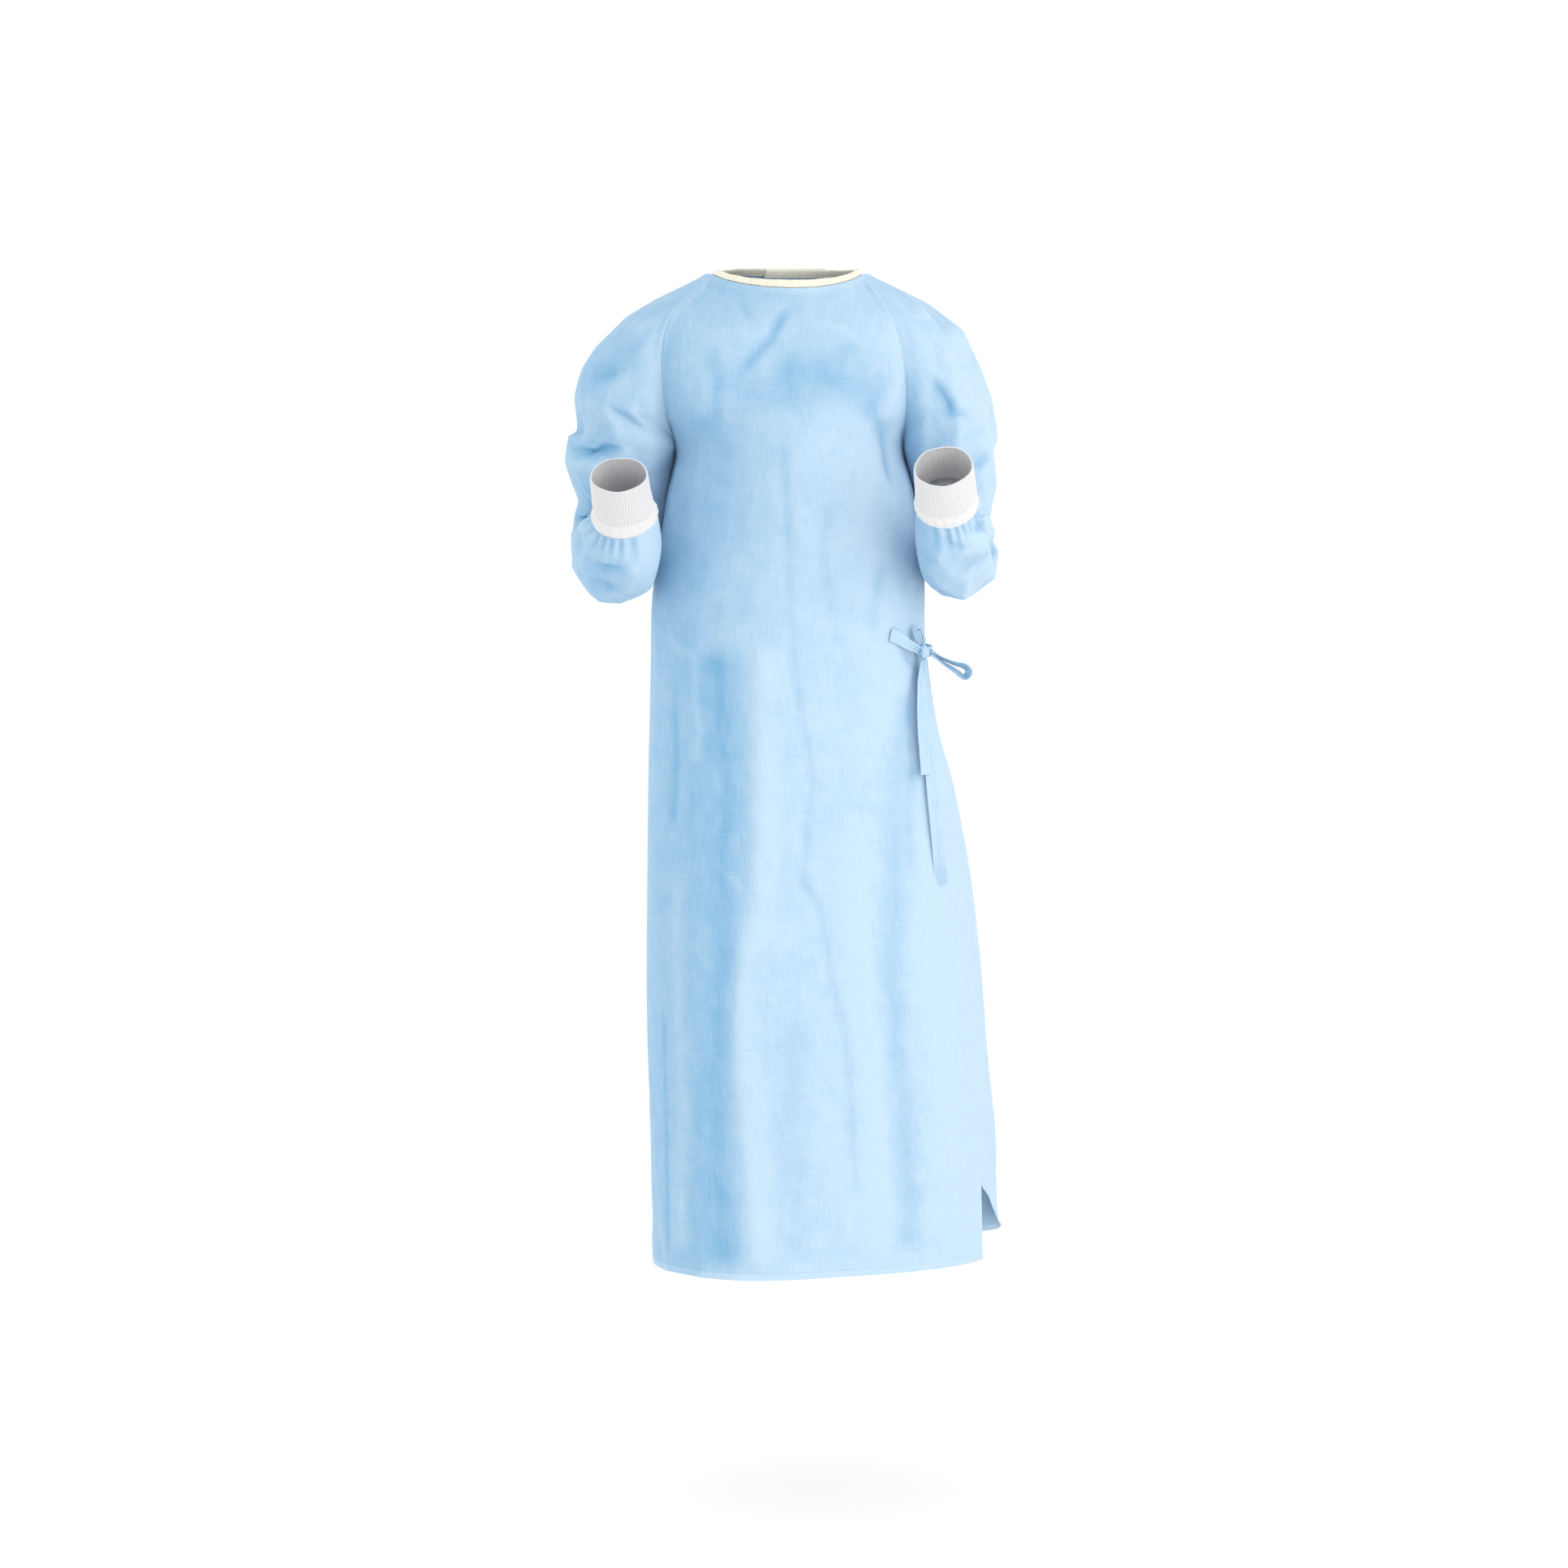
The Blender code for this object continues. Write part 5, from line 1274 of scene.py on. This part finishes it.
def plain(name, colour, shade, roughness, streaks):
    """A soft finish with fine streaks along the piece's own map, and painted shade where the mesh holds it.
    """
    made, maker, feed = new_material(name)
    place = maker.node("ShaderNodeUVMap", {"uv_map": "cloth"})
    fine = maker.noise(maker.stretched(place, *streaks), 1.0, 3.0)
    soft = maker.noise(place, 60.0, 2.0)
    share = maker.clamped((fine - 0.5) * 1.1 + (soft - 0.5) * 0.9 + maker.painted("trough") + 0.3, 0.0, 1.0)
    feed(
        Base_Color=maker.mixed(share, colour, shade), Normal=maker.bump(fine + soft, 0.3, 0.0004),
        Roughness=roughness, Sheen_Weight=0.2, Specular_IOR_Level=0.3)
    return made


TAPE = plain("fine_binding_tape", (0.83, 0.82, 0.72, 1.0), (0.73, 0.70, 0.53, 1.0), 0.7, (70.0, 900.0))


def neck_line():
    """The neck edge, from the inner back's free edge to the flap's: points, up directions and normals."""
    lines = []
    for name in ("back_panel_left", "sleeve_left", "front_panel", "sleeve_right", "back_flap_right"):
        grid = shaped[name][0]
        up = grid[0] - grid[3]
        up = up / np.linalg.norm(up, axis=1, keepdims=True)
        lines.append(np.stack([grid[0], up, normals[name][0]], axis=1)[::-1])
    line = np.concatenate(lines)
    steps = np.linalg.norm(np.diff(line[:, 0], axis=0), axis=1)
    kept = line[np.concatenate([[True], steps > NECK_STEP])]
    place = travelled(kept[:, 0])
    at = np.linspace(0.0, place[-1], BINDING_STEPS)
    fine = np.stack([[np.interp(at, place, kept[:, k, j]) for j in range(3)] for k in range(3)])
    fine = fine.transpose(0, 2, 1)
    for part, times in zip(fine, (4, 14, 14)):
        even_out(part, times)
    fine[1:] /= np.linalg.norm(fine[1:], axis=2, keepdims=True)
    return at, fine


neck_at, (neck_edge, neck_up, neck_out) = neck_line()
profile = np.array([
    # up and out, as shares of the half height and of the half thickness
    (-1.00, 0.86), (-0.97, 1.00), (-0.80, 0.92), (-0.68, 0.72), (-0.55, 0.94), (-0.10, 1.04), (0.50, 1.00),
    (0.86, 0.80), (1.00, 0.30), (1.00, -0.30), (0.86, -0.80), (0.50, -1.00), (-0.10, -1.04), (-0.55, -0.94),
    (-0.68, -0.74), (-0.80, -0.94), (-0.97, -1.00), (-1.00, -0.86)])[::-1]
middle = (
    neck_edge + neck_up * (BINDING_FOOT + BINDING_HEIGHT / 2)
    + neck_out * (BINDING_LIFT - BINDING_THICKNESS / 2))
waver = 0.00025 * np.sin(neck_at * 230.0) + 0.0002 * np.sin(neck_at * 610.0 + 1.0)
binding = (
    middle[:, None] + neck_up[:, None] * (profile[:, 0] * BINDING_HEIGHT / 2)[None, :, None]
    + neck_out[:, None] * (profile[:, 1] * BINDING_THICKNESS / 2)[None, :, None]
    + neck_out[:, None] * waver[:, None, None])
round_it = travelled(profile * (0.0047, 0.0014))       # half the height and half the thickness, rounded
binding_map = (neck_at[:, None] + 0 * round_it[None], round_it[None] + 0 * neck_at[:, None])
# Painted shade in the tape's groove, where its stitches run.
groove_shade = np.clip(1 - np.abs(profile[:, 0] + 0.68) / 0.12, 0, 1)[None] * 0.6 + 0 * neck_at[:, None]


tape = thicken(
    add_sheet("tape_neck_binding", binding, binding_map, {"trough": groove_shade}, TAPE), CLOTH_THICKNESS)
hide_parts("neck_binding")
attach(tape, BODY)
pieces["neck_binding"] = tape

# %% [markdown]
# ## Stitches
#
# Stitches repeat along a line, which is what Geometry Nodes are for. One tree turns a line of points into a
# curve, samples it at the stitches' pitch, and puts a short thread on each sample, turned along the line. Its
# sizes are named inputs, so that the same tree sews every row of stitches.

# %% Thread and stitch tree
THREAD = plain("fine_thread", (0.90, 0.90, 0.86, 1.0), (0.70, 0.71, 0.70, 1.0), 0.6, (900.0, 900.0))


def thread_mesh():
    """One stitch: a short rounded thread, one metre long and thick before it is scaled."""
    rings = (
        # along, radius, lift: both ends dive into the cloth
        (-0.5, 0.2, -0.45), (-0.36, 0.5, -0.05), (0.0, 0.56, 0.1), (0.36, 0.5, -0.05), (0.5, 0.2, -0.45))
    spokes = 6
    points = [
        (x, radius * math.cos(2 * math.pi * k / spokes), radius * math.sin(2 * math.pi * k / spokes) + lift)
        for x, radius, lift in rings for k in range(spokes)]
    faces = [
        [r * spokes + k, r * spokes + (k + 1) % spokes,
         (r + 1) * spokes + (k + 1) % spokes, (r + 1) * spokes + k]
        for r in range(len(rings) - 1) for k in range(spokes)]
    faces += [list(range(spokes))[::-1], [spokes * (len(rings) - 1) + k for k in range(spokes)]]
    made = add_mesh("one_stitch", points, [face[::-1] for face in faces], THREAD)
    made.data.uv_layers.new(name="cloth")
    return made


ONE_STITCH = thread_mesh()


def stitch_tree():
    """Line of points in, row of stitches out."""
    tree = bpy.data.node_groups.new("stitch_row", "GeometryNodeTree")
    tree.interface.new_socket("Line", in_out="INPUT", socket_type="NodeSocketGeometry")
    for label, value in (("Pitch", 0.003), ("Length", 0.0022), ("Width", 0.0005)):
        tree.interface.new_socket(label, in_out="INPUT", socket_type="NodeSocketFloat").default_value = value
    tree.interface.new_socket("Stitch", in_out="INPUT", socket_type="NodeSocketObject")
    tree.interface.new_socket("Finish", in_out="INPUT", socket_type="NodeSocketMaterial")
    tree.interface.new_socket("Row", in_out="OUTPUT", socket_type="NodeSocketGeometry")
    maker = Maker(tree)
    given = tree.nodes.new("NodeGroupInput")
    given = {socket.name: Value(maker, socket) for socket in given.outputs if socket.name}
    curve = maker.node("GeometryNodeMeshToCurve", {}, {"Mesh": given["Line"]})
    points = tree.nodes.new("GeometryNodeCurveToPoints")
    points.mode = "LENGTH"
    tree.links.new(curve.socket, points.inputs["Curve"])
    tree.links.new(given["Pitch"].socket, points.inputs["Length"])
    out = maker.node("GeometryNodeInputNamedAttribute", {"data_type": "FLOAT_VECTOR"}, {"Name": "out"})
    first = maker.node(
        "FunctionNodeAlignRotationToVector", {"axis": "Z"}, {"Vector": out})
    turn = maker.node(
        "FunctionNodeAlignRotationToVector", {"axis": "X", "pivot_axis": "Z"},
        {"Rotation": first, "Vector": Value(maker, points.outputs["Tangent"])})
    stitch = tree.nodes.new("GeometryNodeObjectInfo")
    tree.links.new(given["Stitch"].socket, stitch.inputs["Object"])
    size = maker.node(
        "ShaderNodeCombineXYZ", {}, {0: given["Length"], 1: given["Width"], 2: given["Width"]})
    row = maker.node("GeometryNodeInstanceOnPoints", {}, {
        "Points": Value(maker, points.outputs["Points"]),
        "Instance": Value(maker, stitch.outputs["Geometry"]), "Rotation": turn, "Scale": size})
    real = maker.node("GeometryNodeRealizeInstances", {}, {"Geometry": row})
    done = maker.node("GeometryNodeSetMaterial", {}, {"Geometry": real, "Material": given["Finish"]})
    given_out = tree.nodes.new("NodeGroupOutput")
    tree.links.new(done.socket, given_out.inputs["Row"])
    return tree


STITCHES = stitch_tree()


def sew(name, lines, finish, pitch, length, width):
    """A row of stitches along each line. A line is points and the directions out from the cloth."""
    points = np.concatenate([line for line, _ in lines])
    outs = np.concatenate([out for _, out in lines])
    edges, start = [], 0
    for line, _ in lines:
        edges += [(start + k, start + k + 1) for k in range(len(line) - 1)]
        start += len(line)
    mesh = bpy.data.meshes.new(name + "_lines")
    mesh.from_pydata(points.tolist(), edges, [])
    mesh.attributes.new("out", "FLOAT_VECTOR", "POINT").data.foreach_set(
        "vector", outs.astype(np.float32).reshape(-1))
    guide = bpy.data.objects.new(name + "_lines", mesh)
    bpy.context.scene.collection.objects.link(guide)
    modifier = guide.modifiers.new("stitches", "NODES")
    modifier.node_group = STITCHES
    values = {"Pitch": pitch, "Length": length, "Width": width, "Stitch": ONE_STITCH, "Finish": finish}
    for socket in STITCHES.interface.items_tree:
        if socket.in_out == "INPUT" and socket.name in values:
            modifier[socket.identifier] = values[socket.name]
    solid = bpy.data.meshes.new_from_object(guide.evaluated_get(bpy.context.evaluated_depsgraph_get()))
    solid.name = name
    solid.shade_smooth()
    made = bpy.data.objects.new(name, solid)
    bpy.context.scene.collection.objects.link(made)
    bpy.data.objects.remove(guide, do_unlink=True)
    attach(made, BODY)
    print(name, len(solid.polygons), "faces")
    return made


STITCH_HEIGHT = 0.16             # share of the binding's height at which its stitches run, in its groove
STITCH_SUNK = 0.00035
binding_line = (
    neck_edge + neck_up * (BINDING_FOOT + BINDING_HEIGHT * STITCH_HEIGHT)
    + neck_out * (BINDING_LIFT - STITCH_SUNK + waver[:, None]))
sew(
    "binding_stitches", [(binding_line, neck_out)], THREAD,
    pitch=0.0031, length=0.0024, width=0.00050)

# %% [markdown]
# The cuff's seam is overlocked: slanting threads wrap its rolled edge. The same tree sews them, on short
# lines that slant across the roll.

# %% Overlock on the cuffs
OVERLOCK_COUNT = 132             # slanting lines round a cuff
OVERLOCK_ROWS = (1, 3, 5, 7, 9)  # the cuff's rows that each one crosses
OVERLOCK_SLANT = 2               # columns
OVERLOCK_LIFT = 0.0001

for side in ("left", "right"):
    centre, forward, _, _ = cuff_frame(side)
    grid, _, _ = cuff_grid(side)
    round_ = grid.shape[1] - 1
    lines = []
    for c in np.linspace(0, round_, OVERLOCK_COUNT + 1).astype(int)[:-1]:
        c2 = (c + OVERLOCK_SLANT) % round_
        slanted = np.linspace(c, c2, len(OVERLOCK_ROWS)).astype(int) % round_
        line = grid[OVERLOCK_ROWS, slanted]
        out = line - (centre + forward * ((line - centre) @ forward)[:, None])
        out /= np.linalg.norm(out, axis=1, keepdims=True)
        lines.append((line + out * OVERLOCK_LIFT, out))
    sew("overlock_" + side, lines, THREAD, pitch=0.0024, length=0.0023, width=0.00042)

# %% [markdown]
# ## Ribbons of the belt
#
# The belt is a ribbon of the gown's cloth, folded flat and 15 mm wide. A CAD ribbon is a strip of rings of
# four points. They are read one after the other from a given end, and each gives a middle, a way across and a
# way out. Where the ribbon is squeezed into the knot it is narrower than it was cut, so its spare width goes
# into pleats that run along it.

# %% Read a ribbon back
RIBBON_WIDTH = 0.0150
RIBBON_THICKNESS = 0.0009
RIBBON_COLUMNS = 25
RIBBON_GAP = 0.0009              # metres from the cloth to the middle of a ribbon that lies on it
RAY_START = 0.010                # a ray to the cloth starts this far outside the ribbon
RAY_REACH = 0.030
LAY_OVER = 0.022                 # tie_back comes down onto the flap over these metres in front of y = 0
MOST_SQUEEZE = 0.75              # the largest share of a ribbon's width that goes into pleats
PLEATS = 3                       # side by side
PLEAT_HEIGHT = 0.0022            # where the whole width is squeezed
PLEAT_SWAY = 0.8                 # radians
PLEAT_BENDS = 90.0               # radians a metre
RIBBON_CLOUDS = (0.016, 0.006)   # size of the ribbon's gentle waves, along and across
WAVE_HEIGHT = 0.00035
RIBBON_CUP = 0.0002
PLEAT_SHADE = 0.0016             # depth of a pleat that is painted as a full trough
RIDGE_LIMIT = -0.3               # a ridge is painted no paler than this
RIBBON_SEED = 11


def strip_rings(node, start):
    """A CAD strip's rings from the end near `start`: middles, ways across, and ways out.

    Its end is a pair of triangles. Their four points lead to four new ones, and so on up to the last four."""
    net = merged(node)
    points, near = links(net.faces)
    pairs = [{corner.index for face in edge.link_faces for corner in face.verts} for edge in net.edges]
    net.free()
    pairs.sort(key=lambda pair: np.linalg.norm(np.mean([points[number] for number in pair], axis=0) - start))
    for pair in pairs:
        rings, seen = [pair], set(pair)
        while len(rings[-1]) == 4:
            rings.append({other for number in rings[-1] for other in near[number]} - seen)
            seen |= rings[-1]
        if not rings.pop() and len(rings) * 4 == len(points):
            break
    middles, acrosses, outs = [], [], []
    for ring in rings:
        corners = [points[number] for number in ring]
        first = corners[0]
        others = sorted(corners[1:], key=lambda corner: np.linalg.norm(corner - first))
        out, across = others[0] - first, others[1] - first
        if acrosses and across @ acrosses[-1] < 0:
            across = -across
        if outs and out @ outs[-1] < 0:
            out = -out
        middles.append(np.mean(corners, axis=0))
        acrosses.append(across)
        outs.append(out)
    return np.array(middles), np.array(acrosses), np.array(outs)


def strip_path(node, start, facing, steps):
    """A CAD strip's path at equal steps: how far along, middles, ways across, and ways out to `facing`."""
    middles, acrosses, outs = strip_rings(node, start)
    if np.mean(outs, axis=0) @ facing < 0:
        outs = -outs
    outs /= np.linalg.norm(outs, axis=1, keepdims=True)
    keys = travelled(middles)
    at = np.linspace(0.0, keys[-1], steps)
    return (at, *(spline(keys, values, at) for values in (middles, acrosses, outs)))


def lay_ribbon(grid, under, inward, share):
    """Move a ribbon's cross rows in until they lie on the cloth. `share` says how far each row takes part.

    A row with no cloth under it moves as the rows beside it do, so that the ribbon stays whole."""
    rows, moves = [], []
    for k, row in enumerate(grid):
        begins = [Vector(point - inward * RAY_START) for point in row]
        rooms = [under.ray_cast(begin, Vector(inward), RAY_REACH)[3] for begin in begins]
        rooms = [room for room in rooms if room is not None]
        if rooms:
            rows.append(k)
            moves.append(min(rooms) - RAY_START - RIBBON_GAP)
    move = np.interp(np.arange(len(grid)), rows, moves) * share
    step = np.abs(np.diff(move)).max()
    print("ribbon laid in by up to", move.max().round(4), "largest step", step.round(5))
    return grid + inward * move[:, None, None]


def fold_ribbon(name, node, start, steps, facing, seed, twists):
    """A pleated ribbon on a CAD strip's path, twisted by some degrees at equal steps along it."""
    at, middle, across, out = strip_path(node, start, facing, steps)
    out /= np.linalg.norm(out, axis=1, keepdims=True)
    width = np.linalg.norm(across, axis=1)
    across = across / width[:, None]
    twist = np.radians(np.interp(at / at[-1], np.linspace(0.0, 1.0, len(twists)), twists))[:, None]
    across, out = across * np.cos(twist) + out * np.sin(twist), out * np.cos(twist) - across * np.sin(twist)
    spread = np.linspace(-1.0, 1.0, RIBBON_COLUMNS)
    squeeze = np.clip(1 - width / RIBBON_WIDTH, 0.0, MOST_SQUEEZE)[:, None]
    sway = PLEAT_SWAY * np.sin(at * PLEAT_BENDS + seed)[:, None]
    pleats = np.cos(spread[None] * PLEATS * np.pi + sway) * squeeze * PLEAT_HEIGHT
    along = at[:, None] + 0 * spread[None]
    beside = 0 * at[:, None] + spread[None] * (RIBBON_WIDTH / 2)
    waves = cloudy(along, beside, *RIBBON_CLOUDS, seed) * WAVE_HEIGHT
    lift = pleats + waves - RIBBON_CUP * np.cos(spread[None] * np.pi)
    aside = spread[None] * width[:, None] / 2
    grid = middle[:, None] + across[:, None] * aside[..., None]
    grid = grid + out[:, None] * lift[..., None]
    if node == "tie_back":
        share = ease((middle[:, 1] + LAY_OVER) / LAY_OVER)
        grid = lay_ribbon(grid, ray_tree([shaped["back_flap_right"][0]]), np.array([-1.0, 0.0, 0.0]), share)
    return add_ribbon(name, grid, (aside + seed, along), -lift / PLEAT_SHADE), at[-1]


def add_ribbon(name, grid, flat, trough):
    """A ribbon's sheet with its thickness on both sides of its middle."""
    normal = normals_of(grid)
    normal = normal * np.where(normal @ np.array([0.6, -0.8, 0.0]) < 0, -1.0, 1.0)[..., None]
    # Painted shade: a pleat's trough is painted darker, and so is a side turned from the window side.
    painted = {"trough": np.clip(trough, RIDGE_LIMIT, 1.0), "turned": lit_side_shade(normal)}
    return thicken(add_sheet(name, grid, flat, painted, RIBBON), RIBBON_THICKNESS, 0.0)


print("ribbon tools ready")

# %% Belt ribbons
knot_low, knot_high = (np.array(corner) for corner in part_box("belt_knot"))
knot = (knot_low + knot_high) / 2
FRONT = np.array([0.3, -1.0, 0.0])
RIBBONS = (
    # piece, CAD node, where it starts, rings along it, the way its face looks, its twist in degrees along it
    ("ribbon_tie_front", "tie_front", np.array([0.10, -0.10, -0.42]), 60, FRONT, (0, 0)),
    ("ribbon_tie_back", "tie_back", np.array([0.16, 0.03, -0.45]), 80, np.array([1.0, -0.5, 0.0]), (0, 0)),
    ("ribbon_end_short", "belt_end_short", knot, 110, FRONT, (0, -10, -6, 8)),
    ("ribbon_end_long", "belt_end_long", knot, 190, FRONT, (0, -8, -16, -22, -20, -10, 30)),
    ("ribbon_bow_loop", "belt_bow_loop", knot, 140, np.array([0.0, -1.0, 1.0]), (0, 14, 14, 9, 14, 14, 0)),
    ("ribbon_ear_loop", "belt_ear_loop", knot, 90, np.array([0.0, -1.0, 0.0]), (0, 12, 12, 0)),
)
for seed, (name, node, start, steps, facing, twists) in enumerate(RIBBONS):
    made, length = fold_ribbon(name, node, start, steps, facing, seed + RIBBON_SEED, twists)
    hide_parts(node)
    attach(made, BODY)
    pieces[node] = made
    print(name, "long", round(length, 3))

# %% [markdown]
# The knot is the ribbon wrapped round itself. Three bands of it cross round the knot's middle: each one is a
# closed ring, cupped and pleated, and turned its own way.

# %% Knot
KNOT_FACING = np.array([0.42, -0.90, 0.0])
BAND_ROWS = 73
BAND_COLUMNS = 15
BAND_CUP = 0.34                  # share of its radius that a band loses at its edges
BAND_WAVE = 0.05                 # share of its radius by which a band goes in and out three times round
BAND_PLEATS = 2.5                # side by side
BAND_PLEAT_HEIGHT = 0.00045
BAND_PLEAT_SWAY = 0.9            # radians, twice round
BAND_SHADE = 0.0006              # depth of a pleat that is painted as a full trough


def knot_band(turned, tilt, radii, width, seed):
    """A closed band of ribbon that circles the knot's middle: its points, its flat map and its pleats."""
    around = np.linspace(0.0, 2 * np.pi, BAND_ROWS)
    spread = np.linspace(-1.0, 1.0, BAND_COLUMNS)
    out = KNOT_FACING / np.linalg.norm(KNOT_FACING)
    up = np.array([0.0, 0.0, 1.0])
    side = np.cross(up, out)
    first = side * math.cos(turned) + up * math.sin(turned)
    axis = np.cross(out, first)
    axis = axis * math.cos(tilt) + out * math.sin(tilt)
    cup = 1 - BAND_CUP * spread[None] ** 2 + BAND_WAVE * np.sin(3 * around + seed)[:, None]
    sway = BAND_PLEAT_SWAY * np.sin(2 * around + seed)[:, None]
    pleat = BAND_PLEAT_HEIGHT * np.cos(spread[None] * BAND_PLEATS * np.pi + sway)
    ring = first * np.cos(around)[:, None] * radii[0] + out * np.sin(around)[:, None] * radii[1]
    outward = ring / np.linalg.norm(ring, axis=1, keepdims=True)
    aside = spread * width / 2
    grid = (
        knot + ring[:, None] * cup[..., None] + outward[:, None] * pleat[..., None]
        + axis * aside[None, :, None])
    flat = (aside[None] + 0 * around[:, None], around[:, None] * radii[0] + 0 * spread[None])
    return grid, flat, pleat


KNOT_BANDS = (
    # turned in degrees, tilt in radians, radii, and the width that the ribbon is squeezed to
    (104, 0.34, (0.0086, 0.0082), 0.0102),
    (22, -0.42, (0.0074, 0.0072), 0.0104),
    (-38, 0.28, (0.0082, 0.0076), 0.0086),
)
for seed, (turned, tilt, radii, width) in enumerate(KNOT_BANDS):
    grid, flat, pleat = knot_band(math.radians(turned), tilt, radii, width, seed)
    made = add_ribbon("knot_band_%d" % seed, grid, flat, -pleat / BAND_SHADE)
    if seed == 0:
        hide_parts("belt_knot")
    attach(made, BODY)
print(len(KNOT_BANDS), "bands in the knot")

# %% [markdown]
# ## Neck tab
#
# The neck closes behind with a strip of hook tape, sewn to the flap. Its CAD strip is read back like a
# ribbon, and its corners are drawn in. A row of stitches runs round it, a little inside its edge.

# %% Hook tab
HOOK = plain("fine_hook_tab", (0.84, 0.86, 0.87, 1.0), (0.62, 0.66, 0.70, 1.0), 0.8, (1500.0, 1500.0))
TAB_THICKNESS = 0.0011
TAB_CORNER = 0.005
TAB_ROWS = 61
TAB_COLUMNS = 27
TAB_BACK = np.array([0.0, 1.0, 0.0])
STITCH_LIFT = 0.00065
TOP, BOTTOM, LEFT, RIGHT = 4, 56, 2, 24     # rows and columns of the tab's grid that its stitches follow

at, middle, across, out = strip_path("neck_tab", np.array(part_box("neck_tab")[0]), TAB_BACK, TAB_ROWS)
from_corner = np.maximum(TAB_CORNER - np.minimum(at, at[-1] - at), 0.0)
inset = TAB_CORNER - np.sqrt(np.maximum(TAB_CORNER ** 2 - from_corner ** 2, 0.0))
half = np.linalg.norm(across, axis=1) / 2
wide = np.linspace(-1.0, 1.0, TAB_COLUMNS)[None] * (half - inset)[:, None]
grid = middle[:, None] + (across / (2 * half[:, None]))[:, None] * wide[..., None]
tab = add_sheet("hook_neck_tab", grid, (wide, at[:, None] + 0 * wide), {"trough": 0 * wide}, HOOK)
thicken(tab, TAB_THICKNESS, 0.0)
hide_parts("neck_tab")
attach(tab, BODY)
border = [(row, LEFT) for row in range(TOP, BOTTOM + 1)]
border += [(BOTTOM, column) for column in range(LEFT + 1, RIGHT + 1)]
border += [(row, RIGHT) for row in range(BOTTOM - 1, TOP - 1, -1)]
border += [(TOP, column) for column in range(RIGHT - 1, LEFT - 1, -1)]
rows, columns = np.array(border).T
sew(
    "tab_stitches", [(grid[rows, columns] + out[rows] * STITCH_LIFT, out[rows])], THREAD,
    pitch=0.0028, length=0.0021, width=0.00045)
bpy.data.objects.remove(ONE_STITCH, do_unlink=True)

# %% [markdown]
# ## Stage
#
# A plain pale floor, where the wearer would stand, and a pale surround.

# %% Floor
FLOOR_HEIGHT = -1.456
FLOOR_SIZE = 14.0

net = bmesh.new()
bmesh.ops.create_grid(net, x_segments=1, y_segments=1, size=FLOOR_SIZE)
floor_mesh = bpy.data.meshes.new("floor")
net.to_mesh(floor_mesh)
net.free()
floor_mesh.transform(Matrix.Translation((0.0, 0.0, FLOOR_HEIGHT)))
floor = bpy.data.objects.new("floor", floor_mesh)
bpy.context.scene.collection.objects.link(floor)
floor_finish, _, floor_feed = new_material("pale_floor")
floor_feed(Base_Color=(0.97, 0.97, 0.97, 1.0), Roughness=0.8, Specular_IOR_Level=0.2)
floor_mesh.materials.append(floor_finish)
print("floor at", FLOOR_HEIGHT)
